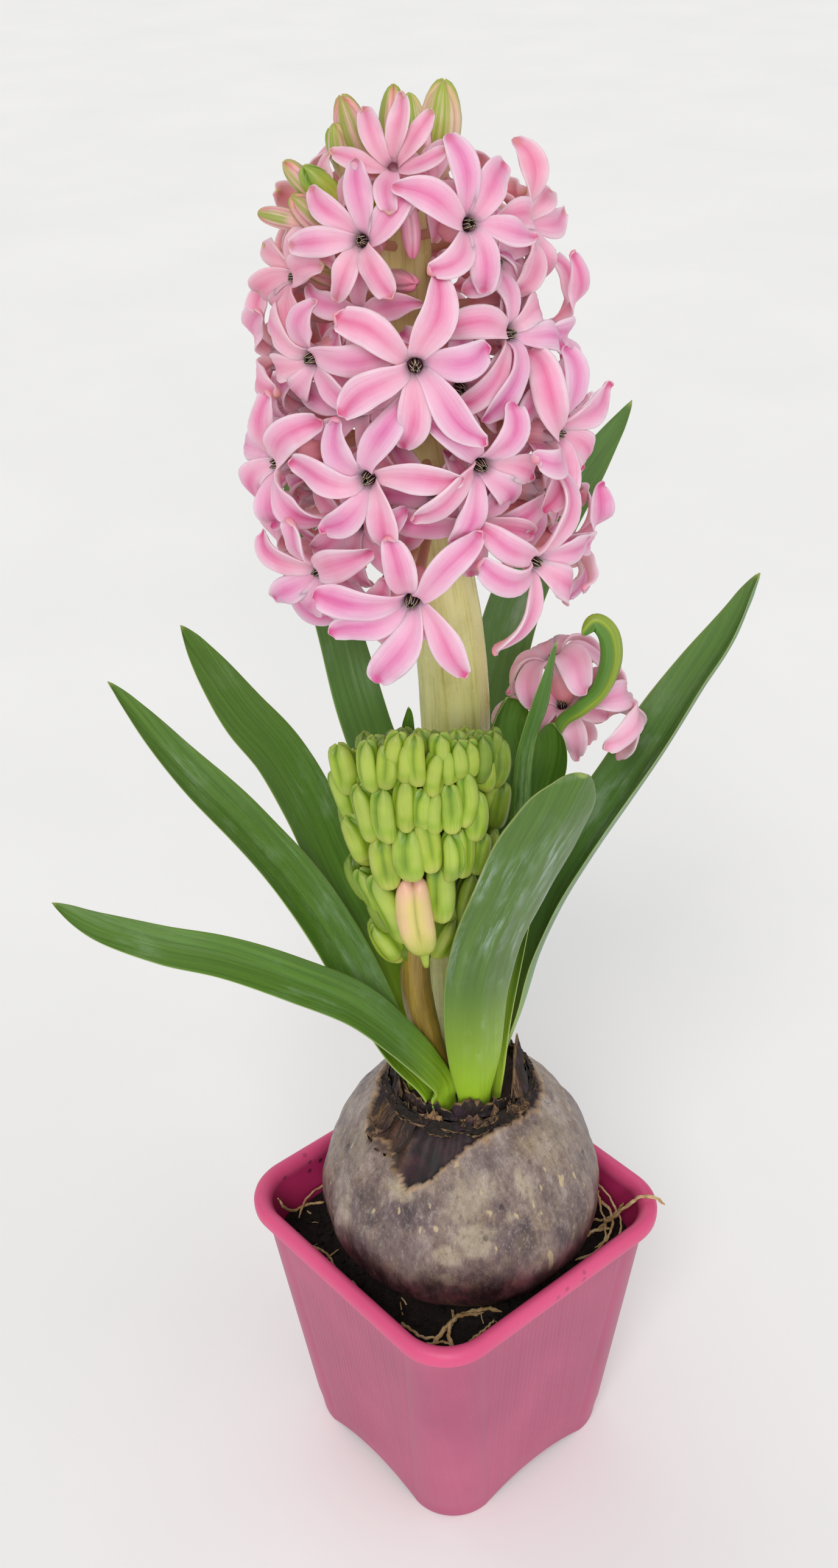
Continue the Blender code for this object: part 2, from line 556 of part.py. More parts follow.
for name, (azimuth, throat_z, length, lift, roll, size) in FLORETS.items():
    a, e = radians(azimuth), radians(lift)
    out = Vector((sin(a), -cos(a), 0))
    axis = out * cos(e) + Vector((0, 0, sin(e)))
    x, y, z, r = stalk_at(throat_z - length * sin(e))
    foot = Vector((x, y, throat_z - length * sin(e))) + out * (r + GAP + 0.25)
    place_floret(name, foot, axis, length, roll, size)

for name, (foot, axis, length, roll, size) in SIDE_FLORETS.items():
    place_floret(name, foot, axis, length, roll, size)


# ---- closed buds -------------------------------------------------------------------------------------
def bud_mesh(name, length, radius, segments=8):
    bm = bmesh.new()
    bmesh.ops.create_cone(bm, cap_ends=True, segments=segments, radius1=0.7, radius2=0.8, depth=1)
    for v in bm.verts:
        v.co.z = 0 if v.co.z < 0 else length * 0.12
    top = max(bm.faces, key=lambda f: f.calc_center_median().z)
    for share, height in ((0.85, 0.24), (1.0, 0.45), (0.95, 0.68), (0.62, 0.88), (0.2, 1.0)):
        top = widen(bm, top, radius * share, length * height)
    bmesh.ops.recalc_face_normals(bm, faces=bm.faces)
    bm.transform(Matrix.Scale(MM, 4))
    mesh = bpy.data.meshes.new(name)
    bm.to_mesh(mesh)
    bm.free()
    smooth(mesh, 60)
    return mesh


for name, (foot, axis, length, radius) in TOP_BUDS.items():
    mesh = bud_mesh(name, length, radius)
    mesh.materials.append(material("tip_bud_finish", *TIP_BUD))
    obj = bpy.data.objects.new(name, mesh)
    PARTS.objects.link(obj)
    obj.parent = plant
    obj.matrix_local = aim(foot, axis, 0)

# ---- bud raceme: closed buds crowded round a core, grown into one body -----------------------------------
bm = bmesh.new()
foot, head = Vector(BUD_FOOT), Vector(BUD_HEAD)
GOLDEN = radians(137.5)


def ellipsoid(bm, centre, axis, half_long, half_wide):
    z = axis.normalized()
    x = z.orthogonal().normalized()
    place = Matrix.Translation(centre) @ Matrix((x, z.cross(x), z)).transposed().to_4x4() @ Matrix.Diagonal((half_wide, half_wide, half_long, 1))
    bmesh.ops.create_icosphere(bm, subdivisions=2, radius=1, matrix=place)


def cone_share(t):
    """Share of the full width at height t, 0 at the foot and 1 at the head."""
    return 0.30 + 0.70 * min(1, t / 0.75) ** 0.8


for k in range(7):
    t = k / 6
    share = cone_share(t)
    place = Matrix.Translation(foot.lerp(head, t)) @ Matrix.Diagonal((BUD_HALF_WIDE * share * 0.85, BUD_HALF_DEEP * share * 0.85, 6, 1))
    bmesh.ops.create_icosphere(bm, subdivisions=2, radius=1, matrix=place)
for k in range(BUD_COUNT):
    t = (k + 0.5) / BUD_COUNT
    t = t**0.8
    a = k * GOLDEN
    share = cone_share(t)
    reach = 1.0 if t < 0.9 else 0.72
    centre = foot.lerp(head, t) + Vector((cos(a) * BUD_HALF_WIDE * share * reach, sin(a) * BUD_HALF_DEEP * share * reach, 0))
    axis = Vector((cos(a) * 0.45, sin(a) * 0.45, 1.2))
    ellipsoid(bm, centre, axis, 4.6, 2.6)
for x in (-11.0, -6.6, -2.2, 2.2, 6.6, 11.0):
    for y in (-4.0, 0.0, 4.0):
        ellipsoid(bm, head + Vector((x, y, 2.8 - abs(x) * 0.12)), Vector((x * 0.03, y * 0.05, 1)), 4.2, 2.5)
cluster = from_bmesh("bud_cluster", bm, LIME, plant)
fuse = cluster.modifiers.new("fuse", "REMESH")
fuse.mode = "VOXEL"
fuse.voxel_size = 1.25 * MM
fuse.use_smooth_shade = True
thin = cluster.modifiers.new("thin", "DECIMATE")
thin.ratio = 0.30
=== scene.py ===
import json
from math import cos, degrees, hypot, pi, radians, sin, sqrt

import bpy
import numpy as np
from mathutils import Matrix, Vector

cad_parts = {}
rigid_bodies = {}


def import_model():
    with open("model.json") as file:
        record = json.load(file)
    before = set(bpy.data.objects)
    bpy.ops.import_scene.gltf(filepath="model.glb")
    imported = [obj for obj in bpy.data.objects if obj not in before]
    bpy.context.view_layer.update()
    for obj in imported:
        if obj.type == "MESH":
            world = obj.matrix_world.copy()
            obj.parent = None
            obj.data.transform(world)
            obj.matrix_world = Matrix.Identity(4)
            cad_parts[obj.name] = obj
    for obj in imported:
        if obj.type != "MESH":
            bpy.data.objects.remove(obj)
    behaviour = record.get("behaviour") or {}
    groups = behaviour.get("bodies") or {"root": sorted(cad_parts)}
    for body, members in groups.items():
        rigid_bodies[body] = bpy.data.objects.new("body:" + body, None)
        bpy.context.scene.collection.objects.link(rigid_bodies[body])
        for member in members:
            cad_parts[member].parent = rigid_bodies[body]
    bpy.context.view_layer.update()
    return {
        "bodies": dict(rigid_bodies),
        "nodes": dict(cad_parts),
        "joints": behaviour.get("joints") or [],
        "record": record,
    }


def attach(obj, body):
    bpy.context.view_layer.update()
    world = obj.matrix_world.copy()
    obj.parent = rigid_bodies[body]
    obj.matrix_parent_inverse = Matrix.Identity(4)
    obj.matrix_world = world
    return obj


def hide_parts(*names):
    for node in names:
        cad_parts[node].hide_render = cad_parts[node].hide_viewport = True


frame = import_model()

# Potted hyacinth. Lengths below are in millimetres and become metres when a mesh is written.
# The plant is authored in its own frame (x to its right, y to its back, z up), turned about Z in the pot.
MM = 0.001
PLANT_TURN = radians(50.0)
TURN = np.array([[cos(PLANT_TURN), -sin(PLANT_TURN), 0], [sin(PLANT_TURN), cos(PLANT_TURN), 0], [0, 0, 1.0]])

POT_HEIGHT, POT_RIM_HALF, POT_TOP_HALF, POT_FOOT_HALF, POT_CORNER_R = 68.0, 35.0, 32.6, 26.0, 10.7
POT_WALL, POT_LIP, POT_FLOOR_LOW, POT_FLOOR_TOP, POT_PAD_R = 1.2, 4.6, 2.5, 3.9, 7.0
ARCH_WIDTH, ARCH_HEIGHT, DRAIN_R, DRAIN_AT = 30.0, 2.8, 2.6, 14.0
SOIL_TOP = 55.0
BULB_X, BULB_MID, BULB_R, NECK_TOP, BASE_Z = 1.5, 71.5, 30.2, 103.2, 104.3

# ---- camera, lights, floor ---------------------------------------------------------------------------
scene = bpy.context.scene
scene.view_settings.view_transform = "Standard"
scene.view_settings.look = "None"

AZ, EL, ROLL = radians(50.0), radians(32.0), radians(-1.7)
CAM_AT = np.array([0.2132, -0.1855, 0.3517])
back = np.array([sin(AZ) * cos(EL), -cos(AZ) * cos(EL), sin(EL)])
right = np.array([cos(AZ), sin(AZ), 0.0])
up = np.cross(back, right)
right, up = right * cos(ROLL) + up * sin(ROLL), -right * sin(ROLL) + up * cos(ROLL)
cam = bpy.data.cameras.new("camera")
cam.sensor_width = 36
cam.lens = 2900 / 2576 * 36
cam.clip_start, cam.clip_end = 0.01, 300
cam_obj = bpy.data.objects.new("camera", cam)
scene.collection.objects.link(cam_obj)
m = np.eye(4)
m[:3, 0], m[:3, 1], m[:3, 2], m[:3, 3] = right, up, back, CAM_AT
cam_obj.matrix_world = Matrix(m.tolist())
scene.camera = cam_obj


def srgb(r, g, b):
    """Linear colour of 0-255 display values."""
    return tuple((c / 255 / 12.92) if c <= 10 else (((c / 255) + 0.055) / 1.055) ** 2.4 for c in (r, g, b)) + (1.0,)


def area_light(name, at, target, size, power, colour=(1, 1, 1)):
    light = bpy.data.lights.new(name, "AREA")
    light.shape = "DISK"
    light.size = size
    light.energy = power
    light.color = colour
    obj = bpy.data.objects.new(name, light)
    scene.collection.objects.link(obj)
    z = (Vector(at) - Vector(target)).normalized()
    obj.matrix_world = Matrix.Translation(at) @ z.to_track_quat("Z", "Y").to_matrix().to_4x4()
    return obj


def sun(name, azimuth, elevation, strength, angle, colour=(1, 1, 1)):
    """A soft sun from azimuth degrees right of the camera's side of the object, at an elevation."""
    light = bpy.data.lights.new(name, "SUN")
    light.energy = strength
    light.angle = radians(angle)
    light.color = colour
    obj = bpy.data.objects.new(name, light)
    scene.collection.objects.link(obj)
    a = AZ + radians(azimuth)
    e = radians(elevation)
    d = Vector((sin(a) * cos(e), -cos(a) * cos(e), sin(e)))
    obj.matrix_world = Matrix.Translation(d * 2) @ d.to_track_quat("Z", "Y").to_matrix().to_4x4()
    return obj


sun("key", -14, 46, 0.90, 22, (1.0, 0.985, 0.965))
sun("front", 4, 22, 0.62, 16, (1.0, 0.99, 0.98))
sun("fill", 60, 30, 0.30, 70, (0.98, 0.99, 1.0))
sun("back_left", -150, 34, 0.30, 60)

world = bpy.data.worlds.new("studio")
scene.world = world
world.use_nodes = True
world.node_tree.nodes["Background"].inputs["Color"].default_value = (1, 1, 1, 1)
world.node_tree.nodes["Background"].inputs["Strength"].default_value = 0.52


# ---- node materials ------------------------------------------------------------------------------------
class Mat:
    """A Principled material with small helpers for its node graph."""

    def __init__(self, name, rough=0.5, **sockets):
        self.mat = bpy.data.materials.new(name)
        self.mat.use_nodes = True
        self.t = self.mat.node_tree
        self.bsdf = self.t.nodes["Principled BSDF"]
        self.bsdf.inputs["Roughness"].default_value = rough
        for k, v in sockets.items():
            self.bsdf.inputs[k.replace("_", " ")].default_value = v
        self.obj_co = None

    def node(self, kind, **props):
        n = self.t.nodes.new(kind)
        for k, v in props.items():
            setattr(n, k, v)
        return n

    def put(self, socket, value):
        if isinstance(value, bpy.types.NodeSocket):
            self.t.links.new(value, socket)
        elif isinstance(value, (tuple, list)) and len(value) == 3 and socket.type == "RGBA":
            socket.default_value = (*value, 1)
        else:
            socket.default_value = value

    def co(self):
        if self.obj_co is None:
            self.obj_co = self.node("ShaderNodeTexCoord").outputs["Object"]
        return self.obj_co

    def attr(self, name):
        return self.node("ShaderNodeAttribute", attribute_name=name).outputs["Fac"]

    def math(self, op, a, b=0.0, c=0.0, clamp=False):
        n = self.node("ShaderNodeMath", operation=op, use_clamp=clamp)
        for s, v in zip(n.inputs, (a, b, c)):
            self.put(s, v)
        return n.outputs[0]

    def noise(self, scale, detail=3.0, rough=0.5, distortion=0.0, co=None, colour=False):
        n = self.node("ShaderNodeTexNoise")
        self.put(n.inputs["Vector"], co or self.co())
        n.inputs["Scale"].default_value = scale
        n.inputs["Detail"].default_value = detail
        n.inputs["Roughness"].default_value = rough
        n.inputs["Distortion"].default_value = distortion
        return n.outputs["Color" if colour else "Fac"]

    def voronoi(self, scale, feature="F1", co=None, out="Distance", randomness=1.0):
        n = self.node("ShaderNodeTexVoronoi", feature=feature)
        self.put(n.inputs["Vector"], co or self.co())
        n.inputs["Scale"].default_value = scale
        n.inputs["Randomness"].default_value = randomness
        return n.outputs[out]

    def stretch(self, sx, sy, sz, co=None):
        n = self.node("ShaderNodeMapping")
        self.put(n.inputs["Vector"], co or self.co())
        n.inputs["Scale"].default_value = (sx, sy, sz)
        return n.outputs[0]

    def along(self, *parts):
        """A texture coordinate made of up to three floats."""
        n = self.node("ShaderNodeCombineXYZ")
        for s, v in zip(n.inputs, parts):
            self.put(s, v)
        return n.outputs[0]

    def ramp(self, fac, *stops, mode="LINEAR"):
        """stops: (position, colour or grey)."""
        n = self.node("ShaderNodeValToRGB")
        n.color_ramp.interpolation = mode
        e = n.color_ramp.elements
        while len(e) < len(stops):
            e.new(0.5)
        for el, (p, c) in zip(e, stops):
            el.position = p
            el.color = (c, c, c, 1) if isinstance(c, (int, float)) else c
        self.put(n.inputs[0], fac)
        return n.outputs["Color"]

    def step(self, x, lo, hi):
        n = self.node("ShaderNodeMapRange", interpolation_type="SMOOTHSTEP")
        self.put(n.inputs["Value"], x)
        if hi < lo:
            n.inputs["From Min"].default_value, n.inputs["From Max"].default_value = hi, lo
            n.inputs["To Min"].default_value, n.inputs["To Max"].default_value = 1, 0
        else:
            n.inputs["From Min"].default_value, n.inputs["From Max"].default_value = lo, hi
        return n.outputs[0]

    def mix(self, fac, a, b, mode="MIX"):
        n = self.node("ShaderNodeMix", data_type="RGBA", blend_type=mode)
        self.put(n.inputs[0], fac)
        self.put(n.inputs[6], a)
        self.put(n.inputs[7], b)
        return n.outputs[2]

    def value(self, fac, a, b):
        """A float from a to b."""
        return self.math("MULTIPLY_ADD", fac, b - a, a)

    def hsv(self, colour, h=0.5, s=1.0, v=1.0):
        n = self.node("ShaderNodeHueSaturation")
        self.put(n.inputs["Color"], colour)
        self.put(n.inputs["Hue"], h)
        self.put(n.inputs["Saturation"], s)
        self.put(n.inputs["Value"], v)
        return n.outputs[0]

    def bump(self, height, strength, distance, before=None):
        n = self.node("ShaderNodeBump")
        n.inputs["Strength"].default_value = strength
        n.inputs["Distance"].default_value = distance
        self.put(n.inputs["Height"], height)
        if before is not None:
            self.put(n.inputs["Normal"], before)
        return n.outputs[0]

    def done(self, colour, rough=None, normal=None):
        self.put(self.bsdf.inputs["Base Color"], colour)
        if rough is not None:
            self.put(self.bsdf.inputs["Roughness"], rough)
        if normal is not None:
            self.put(self.bsdf.inputs["Normal"], normal)
        return self.mat


# floor
floor_mat = Mat("floor", 0.85)
n1 = floor_mat.noise(9, 4)
floor_mat.done(floor_mat.ramp(n1, (0.3, srgb(248, 248, 248)), (0.7, srgb(252, 252, 251))), None,
               floor_mat.bump(floor_mat.noise(900, 2), 0.04, 0.0003))
fm = bpy.data.meshes.new("floor")
fm.from_pydata([(-60, -60, 0), (60, -60, 0), (60, 60, 0), (-60, 60, 0)], [], [(0, 1, 2, 3)])
fm.materials.append(floor_mat.mat)
floor = bpy.data.objects.new("floor", fm)
scene.collection.objects.link(floor)


# ---- mesh writing ------------------------------------------------------------------------------------------
class Piece:
    """Gathers closed shells with per-point attributes and writes them as one mesh."""

    NAMES = ("u", "t", "top", "rnd", "age", "aux", "m1", "m2")

    def __init__(self):
        self.v, self.f, self.mat, self.n = [], [], [], 0
        self.attr = {k: [] for k in self.NAMES}

    def add(self, verts, faces, mat=0, **attrs):
        verts = np.asarray(verts, float).reshape(-1, 3)
        self.v.append(verts)
        for f in faces:
            self.f.extend((np.asarray(f) + self.n).tolist())
            self.mat.extend([mat] * len(f))
        for k in self.NAMES:
            a = attrs.get(k, 0.0)
            self.attr[k].append(np.broadcast_to(np.asarray(a, float).reshape(-1) if np.ndim(a) else np.full(len(verts), float(a)), (len(verts),)))
        self.n += len(verts)

    def loft(self, loops, mat=0, ends=(True, True), **attrs):
        """loops (n, K, 3): closed rings; each end is closed by a fan to a point at its middle. attrs are (n, K) or numbers."""
        loops = np.asarray(loops, float)
        n, K, _ = loops.shape
        a = (np.arange(n - 1)[:, None] * K + np.arange(K)[None, :])
        b = (np.arange(n - 1)[:, None] * K + (np.arange(K)[None, :] + 1) % K)
        quads = np.stack([a, b, b + K, a + K], -1).reshape(-1, 4)
        verts = loops.reshape(-1, 3)
        lo, hi = loops[0].mean(0), loops[-1].mean(0)
        verts = np.concatenate([verts, lo[None], hi[None]])
        k = np.arange(K)
        t0 = np.stack([(k + 1) % K, k, np.full(K, n * K)], -1)
        t1 = np.stack([(n - 1) * K + k, (n - 1) * K + (k + 1) % K, np.full(K, n * K + 1)], -1)
        full = {}
        for key, val in attrs.items():
            if np.ndim(val):
                val = np.broadcast_to(np.asarray(val, float), (n, K))
                full[key] = np.concatenate([val.reshape(-1), [val[0].mean(), val[-1].mean()]])
            else:
                full[key] = val
        # faces point out whatever way the rings run
        c = loops.mean(1)
        d = np.gradient(c, axis=0) if n > 1 else np.zeros_like(c)
        x = np.cross(loops - c[:, None], np.roll(loops, -1, 1) - c[:, None]).sum(1)
        if (x * d).sum() < 0:
            quads, t0, t1 = quads[:, ::-1], t0[:, ::-1], t1[:, ::-1]
        self.add(verts, [quads, t0, t1], mat, **full)

    def object(self, name, mats, node=None, slot=None, turn=True, sharp=None):
        v = np.concatenate(self.v)
        if turn:
            v = v @ TURN.T
        mesh = bpy.data.meshes.new(name)
        mesh.from_pydata((v * MM).tolist(), [], self.f)
        mesh.polygons.foreach_set("material_index", np.array(self.mat, np.int32))
        for k in self.NAMES:
            a = np.concatenate(self.attr[k]).astype(np.float32)
            if np.any(a != 0):
                mesh.attributes.new(k, "FLOAT", "POINT").data.foreach_set("value", a)
        for mt in mats:
            mesh.materials.append(mt)
        mesh.shade_smooth()
        if sharp:
            mesh.set_sharp_from_angle(angle=radians(sharp))
        mesh.update()
        obj = bpy.data.objects.new(name, mesh)
        scene.collection.objects.link(obj)
        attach(obj, "root")
        if node:
            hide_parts(*([node] if isinstance(node, str) else node))
        return obj


def catmull(points, t):
    """Catmull-Rom through points (m, d) at shares t (n,), as numpy."""
    P = np.asarray(points, float)
    if P.ndim == 1:
        P = P[:, None]
    m = len(P) - 1
    t = np.clip(np.asarray(t, float), 0, 1)
    k = np.minimum((t * m).astype(int), m - 1)
    f = (t * m - k)[:, None]
    Q = np.concatenate([[P[0] * 2 - P[1]], P, [P[-1] * 2 - P[-2]]])
    p0, p1, p2, p3 = Q[k], Q[k + 1], Q[k + 2], Q[k + 3]
    return 0.5 * (2 * p1 + (p2 - p0) * f + (2 * p0 - 5 * p1 + 4 * p2 - p3) * f**2 + (3 * p1 - p0 - 3 * p2 + p3) * f**3)


def unit(v):
    v = np.asarray(v, float)
    return v / np.maximum(np.linalg.norm(v, axis=-1, keepdims=True), 1e-9)


def smoothstep(x, a, b):
    t = np.clip((np.asarray(x, float) - a) / (b - a), 0, 1)
    return t * t * (3 - 2 * t)


def tube_rings(path, radius, K=12, normal=(0, 0, 1)):
    """Rings round a path (n, 3) with radii (n,), kept from twisting."""
    path = np.asarray(path, float)
    d = unit(np.gradient(path, axis=0))
    nrm = np.asarray(normal, float)
    rings = []
    for p, a, r in zip(path, d, np.broadcast_to(radius, len(path))):
        nrm = nrm - a * (nrm @ a)
        if np.linalg.norm(nrm) < 1e-6:
            nrm = np.cross(a, [1, 0.3, 0.2])
        nrm = unit(nrm)
        b = np.cross(a, nrm)
        w = np.arange(K) * 2 * pi / K
        rings.append(p + r * (np.cos(w)[:, None] * nrm + np.sin(w)[:, None] * b))
    return np.array(rings)


def seeded(seed):
    return np.random.default_rng(seed)


def wave_noise(x, seed, octaves=3, base=1.0):
    """Smooth 1-D noise of x, about -1..1."""
    r = seeded(seed)
    out = np.zeros_like(np.asarray(x, float))
    for k in range(octaves):
        f = base * 1.9**k
        out = out + np.sin(np.asarray(x, float) * f * 2 * pi + r.uniform(0, 6.28)) * r.uniform(0.6, 1) / 1.6**k
    return out / 1.8


# ---- flower tissue ---------------------------------------------------------------------------------------------
def tepal_material():
    m = Mat("tepal_skin", 0.42, Subsurface_Weight=0.45, Subsurface_Scale=0.0022, Specular_IOR_Level=0.42)
    m.bsdf.inputs["Subsurface Radius"].default_value = (1.0, 0.55, 0.6)
    u, t, top, rnd, age, pale = m.math("ABSOLUTE", m.attr("u")), m.attr("t"), m.attr("top"), m.attr("rnd"), m.attr("age"), m.attr("aux")
    # fine wavering streaks along the tepal, from a texture stretched along it
    streak = m.noise(1.0, 4, 0.6, co=m.along(m.math("MULTIPLY", m.attr("u"), 7.0), m.math("MULTIPLY", t, 1.3), m.math("MULTIPLY", rnd, 60.0)))
    vein = m.noise(1.0, 3, 0.6, co=m.along(m.math("MULTIPLY", m.attr("u"), 17.0), m.math("MULTIPLY", t, 0.9), m.math("MULTIPLY", rnd, 31.0)))
    soft = m.noise(210, 3, 0.5)
    wander = m.math("MULTIPLY_ADD", streak, 0.40, m.math("MULTIPLY_ADD", soft, 0.5, -0.43))
    uu = m.math("ADD", u, wander)
    face = m.ramp(uu, (0.0, srgb(227, 122, 172)), (0.16, srgb(231, 142, 185)), (0.40, srgb(237, 164, 198)), (0.66, srgb(240, 184, 209)), (0.92, srgb(243, 206, 221)))
    # the stripe fades out towards the throat and is deepest beyond the middle
    fade = m.math("MULTIPLY", m.step(t, 0.62, 0.20), 0.70)
    face = m.mix(fade, face, srgb(246, 192, 212))
    # greyer lilac towards the throat: painted shade in the flower's throat
    throat_shade = m.math("MULTIPLY", m.step(t, 0.22, 0.08), 0.5)
    face = m.mix(throat_shade, face, srgb(230, 180, 202))
    face = m.mix(m.math("MULTIPLY", m.step(vein, 0.52, 0.70), 0.24), face, srgb(228, 116, 166))
    tip = m.math("MULTIPLY", m.step(t, 0.86, 0.97), m.step(u, 0.99, 0.35))
    face = m.mix(m.math("MULTIPLY", tip, 0.75), face, srgb(217, 92, 148))
    back = m.ramp(uu, (0.0, srgb(240, 156, 178)), (0.22, srgb(243, 176, 192)), (0.55, srgb(245, 194, 206)), (0.95, srgb(247, 212, 221)))
    back = m.mix(m.math("MULTIPLY", m.step(t, 0.78, 1.0), 0.7), back, srgb(232, 132, 150))
    col = m.mix(top, back, face)
    # blotches of deeper and paler pink
    col = m.mix(m.math("MULTIPLY", m.step(m.noise(150, 3, 0.55), 0.50, 0.72), 0.26), col, srgb(230, 120, 160))
    col = m.hsv(col, m.value(rnd, 0.488, 0.512), m.value(m.noise(60, 2), 0.88, 1.14), m.value(rnd, 0.96, 1.02))
    # side flowers are mixed towards pale pink: painted light on flowers that sit in the raceme's shade
    col = m.mix(m.math("MULTIPLY", pale, 0.38), col, srgb(253, 204, 218))
    # younger flowers are more salmon, with green tips and keels
    old = m.mix(m.math("MULTIPLY", top, 0.5), srgb(238, 166, 156), srgb(241, 176, 192))
    col = m.mix(m.math("MULTIPLY", age, 0.55), col, old)
    green = m.math("MULTIPLY", m.math("MULTIPLY", m.step(t, 0.84, 1.0), age), m.step(u, 0.9, 0.2))
    col = m.mix(green, col, srgb(172, 182, 92))
    cells = m.bump(m.noise(4200, 2, 0.5), 0.12, 0.00012)
    lines = m.bump(m.math("ADD", m.math("MULTIPLY", streak, 0.5), m.math("MULTIPLY", vein, 0.5)), 0.34, 0.0004, cells)
    rough = m.value(soft, 0.34, 0.50)
    return m.done(col, rough, lines)


def tube_material():
    m = Mat("flower_tube", 0.40, Subsurface_Weight=0.35, Subsurface_Scale=0.002)
    t, top, age = m.attr("t"), m.attr("top"), m.attr("age")
    streak = m.noise(1.0, 3, 0.6, co=m.along(m.math("MULTIPLY", m.attr("u"), 14.0), m.math("MULTIPLY", t, 1.2), m.math("MULTIPLY", m.attr("rnd"), 60.0)))
    wall = m.ramp(t, (0.0, srgb(190, 172, 108)), (0.16, srgb(228, 184, 156)), (0.34, srgb(240, 156, 164)), (0.66, srgb(243, 174, 188)), (0.95, srgb(246, 206, 218)))
    wall = m.mix(m.math("MULTIPLY", m.step(streak, 0.42, 0.68), 0.45), wall, srgb(228, 124, 152))
    wall = m.mix(m.math("MULTIPLY", age, 0.35), wall, srgb(230, 176, 148))
    # the inside darkens deeper into the tube: painted shade in the tube's depth
    inside = m.ramp(t, (0.0, srgb(188, 130, 146)), (0.5, srgb(222, 168, 186)), (1.0, srgb(244, 206, 220)))
    col = m.mix(top, wall, inside)
    return m.done(col, m.value(streak, 0.34, 0.5), m.bump(streak, 0.3, 0.0004))


def anther_material():
    m = Mat("anther", 0.55)
    u = m.attr("u")
    grain = m.noise(5200, 2)
    col = m.ramp(m.math("MULTIPLY_ADD", grain, 0.1, u), (0.0, srgb(30, 24, 30)), (0.36, srgb(38, 30, 36)), (0.44, srgb(226, 206, 160)), (0.62, srgb(232, 214, 170)),
                 (0.70, srgb(40, 32, 36)), (1.0, srgb(26, 20, 26)))
    return m.done(col, m.value(grain, 0.45, 0.7), m.bump(grain, 0.5, 0.0001))


TEPAL, TUBE, ANTHER = tepal_material(), tube_material(), anther_material()
UT = np.array([-1, -0.955, -0.84, -0.66, -0.45, -0.25, -0.09, 0.09, 0.25, 0.45, 0.66, 0.84, 0.955, 1])
US = np.concatenate([UT, UT[-2:0:-1]])
SIDE = np.concatenate([np.zeros(1), np.ones(len(UT) - 2), np.zeros(1), -np.ones(len(UT) - 2)])


def resample(P, n, ease=1.0):
    """n points spaced along polyline P by arc length; ease > 1 crowds them towards the end."""
    s = np.concatenate([[0], np.cumsum(np.linalg.norm(np.diff(P, axis=0), axis=1))])
    q = 1 - (1 - np.linspace(0, 1, n)) ** ease
    return np.stack([np.interp(q * s[-1], s, P[:, k]) for k in range(P.shape[1])], 1), q


def bezier(a, b, c, d, n):
    t = np.linspace(0, 1, n)[:, None]
    return a * (1 - t) ** 3 + 3 * b * t * (1 - t) ** 2 + 3 * c * t * t * (1 - t) + d * t**3


def place(frame, local):
    o, X, Y, Z = frame
    return o + local[..., 0:1] * X + local[..., 1:2] * Y + local[..., 2:3] * Z


